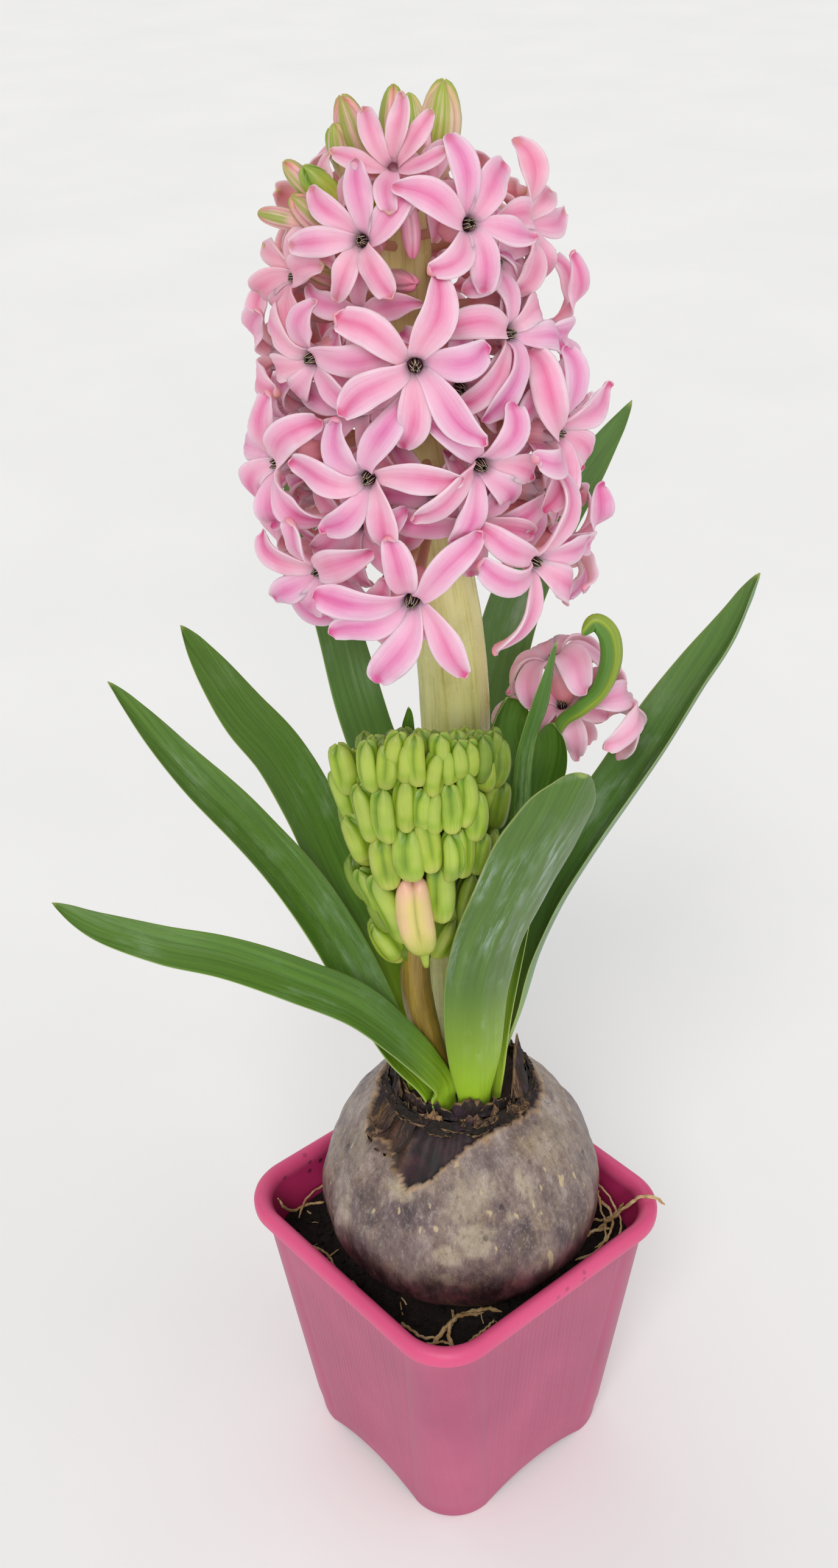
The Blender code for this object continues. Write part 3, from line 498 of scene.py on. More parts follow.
def tepal(piece, fr, th0, th1, rho, h, s, L, rng, age, outer, wide=1.0, spread=0.0, n=22, turn_to=0.0, pale=0.0):
    """One tepal, from inside the tube's mouth to its tip at angle th1, distance rho, height h over the throat."""
    z0 = L - 0.3 * s
    a = np.array([1.25 * s, z0 - 2.3 * s])
    b = np.array([(2.45 + 0.25 * outer) * s, z0 + (0.45 - 0.35 * outer) * s])
    tip = np.array([rho, z0 + 0.3 * s + h])
    first = bezier(a, a + [0.05 * s, 1.1 * s], b - np.array([0.62, 0.62]) * s, b, 8)
    d0 = radians(38 + 4 * min(3, max(-4, h)) + spread + rng.uniform(-6, 6))
    turn = rng.uniform(-16, 16)
    d1 = radians(np.clip(-24 - 10 * (1.5 - h) + turn, -112, 30))
    chord = np.linalg.norm(tip - b)
    second = bezier(b, b + np.array([cos(d0), sin(d0)]) * chord * rng.uniform(0.36, 0.48), tip - np.array([cos(d1), sin(d1)]) * chord * rng.uniform(0.34, 0.48), tip, 40)
    # the end hooks up and inwards
    curl = radians(rng.uniform(35, 150) if n > 16 else rng.uniform(20, 90))
    size = rng.uniform(0.65, 1.15) * s
    turns = d1 + curl * np.linspace(0.1, 1, 7)
    end = second[-1] + np.cumsum(np.stack([np.cos(turns), np.sin(turns)], 1) * (size * curl / 7), axis=0)
    path, t = resample(np.concatenate([first[:-1], second, end]), n, 1.45)
    dth = (th1 - th0 + pi) % (2 * pi) - pi
    share = np.clip((path[:, 0] - 2.2 * s) / max(1.0, rho - 2.2 * s), 0, 1)
    sway = rng.uniform(-0.18, 0.18)
    th = th0 + dth * share**0.8 + sway * np.sin(share * pi)
    c = np.stack([path[:, 0] * np.cos(th), path[:, 0] * np.sin(th), path[:, 1]], 1)
    T = unit(np.gradient(c, axis=0))
    e = np.stack([-np.sin(th), np.cos(th), 0 * th], 1)
    S = unit(e - T * (T * e).sum(1, keepdims=True))
    N = np.cross(T, S)
    tw = rng.uniform(-0.6, 0.6) * smoothstep(t, 0.35, 1.0) + rng.uniform(-0.16, 0.16) + turn_to * smoothstep(t, 0.22, 0.55)
    S, N = S * np.cos(tw)[:, None] + N * np.sin(tw)[:, None], N * np.cos(tw)[:, None] - S * np.sin(tw)[:, None]
    W = (2.88 - 0.14 * outer) * s * wide * rng.uniform(0.93, 1.07)
    peak = rng.uniform(-0.03, 0.03)
    fine = rng.uniform(0.15, 1.0)
    w = W * (1 - fine) * np.interp(t, [0, 0.12, 0.24, 0.38, 0.52 + peak, 0.66 + peak, 0.78, 0.87, 0.93, 0.97, 0.99, 1.0], [0.38, 0.42, 0.60, 0.85, 0.98, 1.0, 0.93, 0.78, 0.58, 0.42, 0.30, 0.16])
    w += W * fine * np.interp(t, [0, 0.12, 0.24, 0.38, 0.50 + peak, 0.62 + peak, 0.72, 0.81, 0.88, 0.94, 0.98, 1.0], [0.38, 0.42, 0.62, 0.88, 1.0, 0.96, 0.82, 0.63, 0.47, 0.36, 0.26, 0.14])
    w = np.convolve(np.pad(w, 1, mode="edge"), [0.2, 0.6, 0.2], "valid")
    w[-1] = 0.16 * s
    mid = rng.uniform(-0.26, 0.34)
    ch = np.interp(t, [0, 0.16, 0.34, 0.58, 0.78, 0.90, 1.0], [0.46, 0.52, 0.34, mid, mid * 0.7 + 0.10, 0.58, 1.0])
    h0 = s * np.interp(t, [0, 0.15, 0.4, 0.7, 0.9, 1.0], [0.38, 0.46, 0.48, 0.44, 0.36, 0.12])
    ph = rng.uniform(0, 6.28)
    U, SD = US[None, :], SIDE[None, :]
    off = w[:, None] * ch[:, None] * (U**2 - 0.30)
    thick = h0[:, None] * np.power(np.maximum(0, 1 - U**2), 0.42)
    rise = smoothstep(t, 0.12, 0.34) * (1 - smoothstep(t, 0.84, 0.98))
    groove = s * (-0.15 * np.exp(-((U / 0.15) ** 2)) + 0.05 * np.cos(U * 15.0)) * rise[:, None]
    keel = 0.15 * s * np.exp(-((U / 0.20) ** 2)) * (1 - smoothstep(t, 0.85, 1))[:, None]
    ripple = 0.26 * s * np.sin(t * 10 + ph)[:, None] * U**2 * (smoothstep(t, 0.3, 0.5) * (1 - smoothstep(t, 0.9, 1)))[:, None] * np.sign(U + 1e-9)
    up_ = off + SD * thick + np.where(SD > 0, groove, 0) - np.where(SD < 0, keel, 0) + ripple
    hood = rng.uniform(0.0, 0.3) * s * smoothstep(t, 0.86, 1.0)
    pinch = 1 - rng.uniform(0.0, 0.10) * np.exp(-(((t - 0.9) / 0.05) ** 2))
    skew = rng.uniform(-0.14, 0.14) * w * smoothstep(t, 0.5, 1.0)
    loops = c[:, None, :] + S[:, None, :] * ((w * pinch)[:, None] * U + skew[:, None])[..., None] + N[:, None, :] * (up_ + hood[:, None])[..., None]
    piece.loft(place(fr, loops), 0, u=np.broadcast_to(U, up_.shape), t=np.broadcast_to(t[:, None], up_.shape),
               top=np.broadcast_to((SD > -0.5) * 1.0, up_.shape), rnd=float(rng.uniform(0.05, 1)), age=age, aux=pale)


def floret_body(piece, fr, s, L, rng, age, anthers=True):
    """The fluted tube on its short pedicel, open at the mouth, and the anthers in the throat."""
    K = 24
    w = np.arange(K) * 2 * pi / K
    m0 = min(1.0, L / (10.5 * s))
    out = [(0.85, -1.8), (0.80, 0.0), (0.95, max(0.5, L - 10.0 * s)), (1.7, L - 9.0 * s * m0), (2.25, L - 8.0 * s * m0), (2.42, L - 6.9 * s * m0), (2.25, L - 5.6 * s * m0),
           (1.95, L - 4.4 * s * m0), (1.9, L - 3.3 * s), (2.0, L - 2.2 * s), (2.2, L - 1.3 * s), (2.3, L - 0.8 * s)]
    inn = [(2.0, L - 0.8 * s), (1.6, L - 1.3 * s), (1.3, L - 2.0 * s), (1.15, L - 3.0 * s), (1.0, L - 3.8 * s)]
    rings, tt, tp = [], [], []
    for k, (r, z) in enumerate(out + inn):
        flute = 1 + (0.055 if 3 < k < len(out) else 0.0) * np.cos(6 * w)
        rr = r * s * flute if k > 1 else r * (0.7 + 0.3 * s) * np.ones(K)
        rings.append(np.stack([rr * np.cos(w), rr * np.sin(w), np.full(K, z)], 1))
        inside = k >= len(out)
        tp.append(1.0 if inside else 0.0)
        tt.append(1 - (k - len(out)) / (len(inn) - 1) if inside else max(0.0, k / (len(out) - 1)))
    loops = place(fr, np.array(rings))
    piece.loft(loops, 1, u=np.broadcast_to(np.sin(w * 3)[None], loops.shape[:2]), t=np.repeat(np.array(tt)[:, None], K, 1),
               top=np.repeat(np.array(tp)[:, None], K, 1), rnd=float(rng.uniform(0.05, 1)), age=age)
    for k in range(6 if anthers else 0):
        a = k * pi / 3 + rng.uniform(-0.2, 0.2)
        r0, r1 = 0.80 * s, rng.uniform(0.38, 0.66) * s
        lo, hi = L - 2.5 * s, L + rng.uniform(-0.15, 0.45) * s
        q = np.linspace(0, 1, 7)
        ctr = np.stack([(r0 + (r1 - r0) * q) * cos(a), (r0 + (r1 - r0) * q) * sin(a), lo + (hi - lo) * q], 1)
        rad = 0.36 * s * np.sqrt(np.maximum(0.02, 1 - (2 * q - 1) ** 2)) ** 0.6
        rings = tube_rings(ctr, rad, 10, (cos(a), sin(a), 0))
        uu = (0.5 + 0.5 * np.cos(2 * np.arange(10) * 2 * pi / 10))
        piece.loft(place(fr, rings), 2, u=np.broadcast_to(uu[None], rings.shape[:2]), t=0.5, rnd=0.5)


FLORETS = {
    "floret_01": (-20, 281.0, 15.0, 18, 36, 0.84),
    "floret_02": (30, 283.0, 17.0, 18, 17, 0.88),
    "floret_03": (80, 279.0, 16.0, 14, 10, 0.86),
    "floret_04": (-69, 272.6, 14.5, 7, 40, 0.86),
    "floret_05": (134, 280.0, 14.5, 18, 20, 0.84),
    "floret_06": (-130, 279.0, 14.5, 18, 50, 0.84),
    "floret_07": (2, 263.5, 20.0, 5, 50, 1.0),
    "floret_08": (48, 265.0, 17.0, 11, 4, 0.92),
    "floret_09": (90, 260.5, 19.5, 2, 20, 0.94),
    "floret_10": (-43, 262.5, 18.0, -1, 5, 0.94),
    "floret_11": (-94, 257.0, 18.5, 2, 25, 0.94),
    "floret_12": (-142, 261.5, 16.5, 4, 0, 0.94),
    "floret_13": (172, 263.0, 19.5, 10, 20, 0.94),
    "floret_14": (133, 261.5, 16.5, 9, 20, 0.94),
    "floret_15": (-20, 245.0, 20.0, 0, 55, 1.0),
    "floret_16": (24, 246.0, 19.0, -2, 32, 0.98),
    "floret_17": (63, 247.0, 20.5, 0, 7, 1.0),
    "floret_18": (-66, 243.0, 21.0, -5, 54, 1.0),
    "floret_19": (108, 241.5, 19.5, -4, 50, 0.96),
    "floret_20": (-117, 241.5, 20.5, 1, 0, 0.98),
    "floret_21": (-159, 241.5, 17.0, -2, 10, 0.98),
    "floret_22": (150, 243.5, 18.5, -2, 50, 0.98),
    "floret_23": (-9, 224.0, 20.5, -8, 15, 1.04),
    "floret_24": (44, 227.0, 19.5, -10, 45, 1.0),
    "floret_25": (-52, 225.0, 19.5, -15, 10, 1.0),
    "floret_26": (-89, 222.0, 20.0, -19, 35, 0.96),
    "floret_27": (89, 222.0, 20.0, -9, 55, 0.96),
    "floret_28": (126, 223.0, 18.0, -17, 5, 0.96),
    "floret_29": (-135, 222.0, 18.0, -17, 55, 0.96),
    "floret_30": (172, 224.0, 18.0, -12, 35, 0.96),
    "floret_31": (-6, 290.8, 11.5, 36, 0, 0.66),
}
SIDE_FLORETS = {
    "side_floret_1": ((23.2, 1.2, 190.8), (-0.32, 0.10, 0.94), 10.5, 10, 0.78),
    "side_floret_2": ((25.2, 1.0, 188.2), (0.93, 0.12, 0.34), 9.0, 40, 0.78),
    "side_floret_3": ((20.4, 3.2, 181.4), (0.1, 0.9, 0.42), 9.0, 20, 0.74),
}
# set tips of tepals: floret: (angle, distance from axis, height over the throat); the others vary at random
TIPS = {
    "01": [(45, 9.6, -0.3), (97, 10.8, -0.3), (140, 10.3, -0.3), (187, 10.7, 0), (249, 9.1, -0.8), (308, 9, 0.5)],
    "02": [(45, 10.2, -0.8), (95, 12.5, -0.4), (145, 12.4, -2.3), (213, 9.8, 0.3), (275, 9.5, -0.9), (341, 10.7, -0.4)],
    "03": [(10, 10.5, 2.4), (78, 12.5, 0.4), (350, 10.6, 3.8)],
    "04": [(168, 10.5, 0.9), (206, 10.6, 1.7), (228, 10, -2.4)],
    "07": [(12, 10.5, -0.6), (74, 13.8, -1.1), (145, 13.1, -0.8), (209, 12.7, -0.3), (260, 12, -1), (312, 14.8, 1.2)],
    "08": [(6, 9.4, -4.7), (164, 12.7, -4.7), (219, 13.5, -4), (237, 13.5, -2.3), (336, 11.2, 0.1)],
    "09": [(71, 11.4, -0.7), (110, 14.5, 1.6), (340, 11.3, 0.3)],
    "10": [(11, 13.2, -5), (69, 10.6, 0.8), (204, 10, -3.9), (230, 8.8, -5)],
    "15": [(3, 14.5, -3), (63, 14.9, -3.8), (115, 10.2, 0.2), (173, 11.8, -0.6), (231, 11.7, -0.9), (290, 12, -1)],
    "16": [(62, 10.2, 0), (136, 12.2, -1.2), (209, 12.8, -0.8), (246, 12.2, -0.2), (304, 10, -3.5), (335, 10.3, -2.8)],
    "17": [(22, 12.7, 2.9), (74, 13.1, -1), (101, 13.8, -5), (178, 11.8, 0.5), (317, 12, -0.4), (250, 12, -1)],
    "18": [(83, 12.1, -0.9), (40, 14.6, -5), (176, 11.9, -1.7), (230, 12, 0.1)],
    "23": [(46, 15.2, -3.9), (103, 12.1, -0.1), (173, 15, 1.1), (201, 13.7, 0.8), (246, 14.2, 2.5), (306, 14.4, 1.8)],
    "24": [(5, 12.1, -0.2), (72, 15.1, -3.6), (142, 13.6, -5), (165, 12.5, -2.1), (235, 15.4, 0.9), (308, 12.3, 0.8)],
    "25": [(88, 11.4, 1.4), (214, 12.7, 3.1), (228, 11.8, -1.7)],
    "31": [(170, 8.6, 0.4), (120, 8.4, 1.6), (80, 8.6, 3.2), (48, 8.6, 3.0), (10, 8.4, 1.4), (270, 8.0, 2.4)],
}
MAIN_STALK = [
    (1.5, 3.8, BASE_Z, 5.0), (1.7, 3.8, 118, 5.5), (2.0, 3.6, 140, 6.2), (2.2, 3.5, 165, 6.5), (2.1, 3.4, 190, 6.5), (0.9, 3.3, 208, 6.2),
    (-1.3, 3.1, 226, 5.8), (-3.2, 2.9, 244, 5.3), (-4.6, 2.7, 262, 4.8), (-5.1, 2.4, 277, 4.2), (-4.9, 2.2, 285, 3.0),
]


def stalk_at(z):
    for a, b in zip(MAIN_STALK, MAIN_STALK[1:]):
        if z <= b[2]:
            f = (z - a[2]) / (b[2] - a[2])
            return np.array(a) + (np.array(b) - np.array(a)) * f
    return np.array(MAIN_STALK[-1], float)


def axes(axis):
    Z = unit(axis)
    X = np.cross([0, 0, 1.0], Z)
    X = unit(X) if np.linalg.norm(X) > 1e-3 else np.array([1.0, 0, 0])
    return X, np.cross(Z, X), Z


def match_tips(roll, tips):
    """Gives each given tip the tepal whose base is nearest, keeping their order round the flower."""
    base = [(30 + 60 * k + roll) % 360 for k in range(6)]
    order = sorted(range(6), key=lambda k: base[k])
    tips = sorted(tips, key=lambda q: q[0] % 360)
    best = None
    from itertools import combinations
    for pick in combinations(range(6), len(tips)):
        for shift in range(len(tips)):
            cost = 0
            pairs = []
            for i, q in enumerate(tips):
                k = order[pick[(i + shift) % len(tips)]]
                d = abs((q[0] - base[k] + 180) % 360 - 180)
                cost += d * d
                pairs.append((k, q))
            if best is None or cost < best[0]:
                best = (cost, pairs)
    return {k: q for k, q in (best[1] if best else [])}, base


def make_floret(name, foot, axis, L, roll, s, seed, age, node=True, n=22, aside=0.0):
    rng = seeded(seed)
    fr = (np.array(foot, float), *axes(axis))
    piece = Piece()
    floret_body(piece, fr, s, L, rng, age, anthers=name != "floret_31")
    chosen, base = match_tips(roll, TIPS.get(name[-2:] if name.startswith("floret") else "", []))
    side_kind = name.startswith("side")
    for k in range(6):
        if k in chosen:
            ang, rho, h = chosen[k]
        else:
            ang = base[k] + rng.uniform(-14, 14)
            rho = s * (rng.uniform(8.6, 10.8) if side_kind else rng.uniform(10.6, 13.4))
            h = s * (rng.uniform(-7.5, -1.5) if side_kind else rng.uniform(-6.5, 1.2))
        # side flowers carry the painted light (pale) into their tepal colour
        tepal(piece, fr, radians(base[k]), radians(ang), rho, h, s, L, rng, age, k % 2, spread=(14 if side_kind else 0), n=n, turn_to=-aside * sin(radians(ang)),
              pale=float(side_kind))
    return piece.object(name + "_bloom", [TEPAL, TUBE, ANTHER], name if node else None, "tepal_pink")


AGES = {"floret_01": 0.25, "floret_02": 0.12, "floret_03": 0.3, "floret_04": 0.75, "floret_05": 0.5, "floret_06": 0.7, "floret_31": 0.45, "floret_10": 0.3, "floret_11": 0.3,
        "floret_12": 0.25}
for number, (name, (azimuth, throat_z, L, lift, roll, s)) in enumerate(FLORETS.items()):
    a, e = radians(azimuth), radians(lift)
    out = np.array([sin(a), -cos(a), 0])
    axis = out * cos(e) + np.array([0, 0, sin(e)])
    x, y, z, r = stalk_at(throat_z - L * sin(e))
    make_floret(name, np.array([x, y, throat_z - L * sin(e)]) + out * (r + 0.6), axis, L, roll, s, 100 + number, AGES.get(name, 0.0),
                aside=0.95 * np.sign(azimuth) * smoothstep(abs(azimuth), 50, 75) * (1 - smoothstep(abs(azimuth), 115, 140)))
for number, (name, (foot, axis, L, roll, s)) in enumerate(SIDE_FLORETS.items()):
    make_floret(name, foot, axis, L, roll, s * 1.32, 300 + number, 0.0)
make_floret("side_front_bloom", (22.8, 4.4, 185.6), (-0.14, -0.56, 0.81), 8.0, 12, 0.86, 333, 0.0, node=False, n=18)
# further flowers set deeper in the raceme, between the ones above: azimuth, height of the throat, length, lift, roll, size
INNER_FLORETS = [
    (16, 287.0, 8.5, 34, 10, 0.66, 0.5), (-46, 283.0, 11.0, 26, 20, 0.70, 0.7), (57, 275.0, 13.5, 14, 40, 0.84, 0.2), (106, 272.0, 14.0, 10, 0, 0.86, 0.2), (158, 274.0, 13.5, 12, 30, 0.84, 0.3),
    (-103, 269.0, 14.0, 10, 10, 0.84, 0.5), (-168, 275.0, 13.0, 12, 0, 0.82, 0.3), (-26, 254.5, 14.5, 4, 20, 0.90, 0.1), (24, 257.0, 14.0, 4, 48, 0.90, 0.0), (72, 254.0, 15.0, 3, 50, 0.92, 0.0),
    (-78, 250.0, 15.5, 0, 10, 0.92, 0.1), (118, 252.0, 15.0, 4, 30, 0.90, 0.0), (172, 252.0, 15.0, 4, 20, 0.92, 0.0), (-134, 251.0, 15.0, 2, 30, 0.92, 0.1), (-34, 234.5, 15.5, -4, 0, 0.94, 0.0),
    (20, 235.0, 14.5, -5, 20, 0.92, 0.0), (70, 235.0, 15.5, -6, 30, 0.94, 0.0), (-92, 232.5, 16.0, -8, 55, 0.92, 0.0), (112, 231.0, 15.5, -10, 10, 0.92, 0.0), (-160, 232.0, 15.0, -8, 30, 0.92, 0.0),
    (155, 232.5, 15.0, -8, 0, 0.92, 0.0), (-34, 218.5, 14.0, -22, 30, 0.90, 0.0), (78, 267.0, 13.5, 6, 25, 0.86, 0.0), (-28, 268.0, 11.0, 8, 0, 0.80, 0.2),
    (6, 239.5, 11.5, -3, 30, 0.86, 0.0),
]
for number, (azimuth, throat_z, L, lift, roll, s, age) in enumerate(INNER_FLORETS):
    a, e = radians(azimuth), radians(lift)
    out = np.array([sin(a), -cos(a), 0])
    axis = out * cos(e) + np.array([0, 0, sin(e)])
    x, y, z, r = stalk_at(throat_z - L * sin(e))
    make_floret(f"inner_{number + 1}", np.array([x, y, throat_z - L * sin(e)]) + out * (r + 0.4), axis, L, roll, s, 400 + number, age, node=False, n=15)


# ---- stalks ------------------------------------------------------------------------------------------------------
def stalk_material(name, light, mid, dark, rough):
    m = Mat(name, rough, Subsurface_Weight=0.08, Subsurface_Scale=0.002, Specular_IOR_Level=0.55)
    u, t, rnd = m.attr("u"), m.attr("t"), m.attr("rnd")
    fine = m.noise(1.0, 4, 0.65, co=m.along(m.math("MULTIPLY", u, 1.0), m.math("MULTIPLY", t, 0.06), rnd))
    broad = m.noise(1.0, 3, 0.6, co=m.along(m.math("MULTIPLY", u, 0.22), m.math("MULTIPLY", t, 0.05), m.math("ADD", rnd, 7.0)))
    col = m.ramp(m.math("ADD", m.math("MULTIPLY", fine, 0.55), m.math("MULTIPLY", broad, 0.45)), (0.30, dark), (0.48, mid), (0.68, light))
    blot = m.noise(120, 4, 0.6)
    col = m.mix(m.math("MULTIPLY", m.step(blot, 0.5, 0.75), 0.35), col, dark)
    bump = m.bump(fine, 0.35, 0.0006, m.bump(m.noise(900, 3), 0.18, 0.0003))
    return m.done(col, m.value(m.noise(300, 3), rough - 0.08, rough + 0.14), bump)


STALK = stalk_material("stalk_skin", srgb(246, 242, 184), srgb(238, 234, 156), srgb(196, 189, 112), 0.22)
BROWN_STALK = stalk_material("shoot_skin", srgb(178, 150, 70), srgb(146, 118, 46), srgb(100, 76, 30), 0.34)
GREEN_STALK = stalk_material("side_shoot_skin", srgb(168, 186, 96), srgb(130, 154, 70), srgb(92, 116, 50), 0.34)


def stalk(name, node, points, mat, slot, seed, K=44, ribs=9, rib=0.02, extend=4.0, bumps=()):
    P = np.array(points, float)
    first = P[0].copy()
    first[:3] += unit(P[0, :3] - P[1, :3]) * extend
    fine = np.concatenate([first[None], catmull(P, np.linspace(0, 1, 140))])
    rings = tube_rings(fine[:, :3], 1.0, K)
    w = np.arange(K) * 2 * pi / K
    rad = fine[:, 3][:, None] * (1 + rib * np.cos(ribs * w)[None] + 0.012 * np.sin(3 * w + fine[:, 2][:, None] * 0.05))
    rad = rad + 0.10 * wave_noise(fine[:, 2] / 30, seed)[:, None]
    rings = fine[:, None, :3] + (rings - fine[:, None, :3]) * rad[..., None]
    for bx, by, bz, size in bumps:
        d = np.linalg.norm(rings - np.array([bx, by, bz]), axis=2)
        out = unit(rings - fine[:, None, :3])
        rings = rings + out * (0.55 * size * np.exp(-((d / (1.7 * size)) ** 2)))[..., None]
    # a rounded top
    last = fine[-1]
    axis = unit(fine[-1, :3] - fine[-3, :3])
    cap = [last[:3] + axis * last[3] * 0.75 * sin(a) + (rings[-1] - last[:3]) * cos(a) for a in np.linspace(0.3, 1.45, 5)]
    rings = np.concatenate([rings, np.array(cap)])
    s = np.concatenate([[0], np.cumsum(np.linalg.norm(np.diff(rings.mean(1), axis=0), axis=1))])
    piece = Piece()
    across = np.abs((np.arange(K) / K * 2 - 1)) * 2 * pi * fine[:, 3].mean()
    piece.loft(rings, 0, u=np.broadcast_to(across[None], rings.shape[:2]), t=np.repeat(s[:, None], K, 1), rnd=seed * 3.7)
    return piece.object(name, [mat], node, slot)


joins = []
for name, (azimuth, throat_z, L, lift, roll, s) in FLORETS.items():
    a, e = radians(azimuth), radians(lift)
    x, y, z, r = stalk_at(throat_z - L * sin(e))
    joins.append((x + sin(a) * r, y - cos(a) * r, throat_z - L * sin(e), 1.0))
stalk("main_stalk_skin", "main_stalk", MAIN_STALK, STALK, "stalk_green", 1, K=56, ribs=11, rib=0.014, bumps=joins)
BUD_STALK = [
    (-2.7, -3.8, BASE_Z, 2.6), (-3.0, -4.0, 109, 2.7), (-4.8, -5.4, 118, 2.9), (-6.2, -7.6, 128, 3.1), (-6.8, -10.0, 136, 3.0), (-6.7, -11.6, 143, 2.8),
    (-6.2, -13.2, 152, 2.6), (-5.6, -14.6, 164, 2.4), (-5.0, -15.6, 176, 2.0),
]
SIDE_STALK = [
    (6.2, -3.9, BASE_Z, 1.8), (6.3, -3.9, 111, 1.8), (7.4, -3.8, 125, 1.9), (11.0, -2.4, 152, 1.9), (17.0, -0.2, 174, 1.8), (22.5, 0.8, 188, 1.6),
]
stalk("bud_shoot_skin", "bud_stalk", BUD_STALK, BROWN_STALK, "stalk_brown", 2, K=36, ribs=7, rib=0.02)
stalk("side_shoot_stem", "side_stalk", SIDE_STALK, GREEN_STALK, "stalk_green", 3, K=28, ribs=5, rib=0.02)


# ---- leaves --------------------------------------------------------------------------------------------------------
def leaf_material(name, inner, outer, deep, bloom, base, bloom_amount, sheen_streak_amount=0.0):
    m = Mat(name, 0.42, Subsurface_Weight=0.06, Subsurface_Scale=0.0015, Specular_IOR_Level=0.5)
    u, t, top, rnd, mm, run = m.attr("u"), m.attr("t"), m.attr("top"), m.attr("rnd"), m.attr("m1"), m.attr("m2")
    veins = m.noise(1.0, 4, 0.7, co=m.along(m.math("MULTIPLY", mm, 1.5), m.math("MULTIPLY", run, 0.03), m.math("MULTIPLY", rnd, 40.0)))
    bands = m.noise(1.0, 3, 0.5, co=m.along(m.math("MULTIPLY", mm, 0.35), m.math("MULTIPLY", run, 0.02), m.math("MULTIPLY", rnd, 90.0)))
    patch = m.noise(46, 4, 0.55)
    body = m.mix(top, outer, inner)
    col = m.mix(m.step(veins, 0.36, 0.66), m.mix(0.42, body, deep), body)
    col = m.mix(m.math("MULTIPLY", m.step(bands, 0.42, 0.70), 0.45), col, m.mix(0.5, body, deep))
    frost = m.noise(1.0, 5, 0.7, co=m.along(m.math("MULTIPLY", mm, 0.5), m.math("MULTIPLY", run, 0.09), m.math("MULTIPLY", rnd, 17.0)))
    wax = m.step(m.noise(70, 4, 0.6), 0.44, 0.58)
    cover = m.math("MULTIPLY", m.math("MULTIPLY", m.step(frost, 0.42, 0.68), m.math("MULTIPLY", m.step(patch, 0.42, 0.58), wax)), m.value(top, bloom_amount * 1.3, bloom_amount * 0.6))
    cover = m.math("MULTIPLY", cover, m.step(t, 0.93, 0.80))
    col = m.mix(cover, col, bloom)
    if sheen_streak_amount:
        # pale streaks over the middle of the blade, in a bloom-like grey: painted sheen
        band = m.math("MULTIPLY", m.step(t, 0.30, 0.46), m.step(t, 0.90, 0.66))
        sheen_noise = m.noise(1.0, 5, 0.72, co=m.along(m.math("MULTIPLY", mm, 0.62), m.math("MULTIPLY", run, 0.06), m.math("MULTIPLY", rnd, 29.0)))
        sheen_streaks = m.math("MULTIPLY", m.math("MULTIPLY", m.step(sheen_noise, 0.44, 0.66), m.step(m.noise(1.0, 3, 0.5, co=m.along(m.math("MULTIPLY", mm, 0.15), m.math("MULTIPLY", run, 0.045), rnd)), 0.40, 0.60)), band)
        col = m.mix(m.math("MULTIPLY", sheen_streaks, sheen_streak_amount), col, srgb(162, 180, 168))
    low = m.step(m.math("ADD", t, m.math("MULTIPLY", m.math("SUBTRACT", veins, 0.5), 0.10)), 0.36, 0.04)
    col = m.mix(m.math("MULTIPLY", low, 0.86), col, base)
    rim = m.step(m.math("ABSOLUTE", u), 0.955, 0.995)
    col = m.mix(m.math("MULTIPLY", rim, 0.55), col, srgb(176, 190, 120))
    # lighter yellow-green at the very tip: painted highlight on the leaf's tip
    end = m.step(t, 0.985, 1.0)
    col = m.mix(m.math("MULTIPLY", end, 0.6), col, srgb(178, 196, 110))
    col = m.hsv(col, 0.5, 1.0, m.value(m.noise(22, 2), 0.88, 1.12))
    bump = m.bump(veins, 0.5, 0.00045, m.bump(m.noise(2600, 2), 0.16, 0.00015))
    rough = m.math("ADD", m.value(veins, 0.34, 0.46), m.math("MULTIPLY", cover, 0.25))
    return m.done(col, rough, bump)


LEAF = leaf_material("leaf_skin", srgb(90, 132, 42), srgb(95, 134, 58), srgb(52, 86, 26), srgb(152, 176, 142), srgb(160, 198, 44), 0.6)
LEAF_GLAUCOUS = leaf_material("leaf_skin_glaucous", srgb(93, 136, 58), srgb(102, 141, 92), srgb(62, 99, 50), srgb(160, 182, 158), srgb(154, 192, 60), 0.7)
LEAF_SMALL = leaf_material("leaf_skin_small", srgb(98, 142, 46), srgb(92, 136, 54), srgb(58, 96, 32), srgb(160, 186, 112), srgb(170, 198, 60), 0.4)
LEAF_HOOK = leaf_material("leaf_skin_hooked", srgb(160, 180, 56), srgb(98, 144, 50), srgb(68, 108, 36), srgb(180, 196, 112), srgb(176, 194, 66), 0.35)

LEAF_SHEEN_STREAKED = leaf_material("leaf_skin_sheen_streaked", srgb(90, 130, 38), srgb(88, 125, 42), srgb(46, 78, 18), srgb(152, 176, 142), srgb(160, 198, 44), 0.5, sheen_streak_amount=0.78)

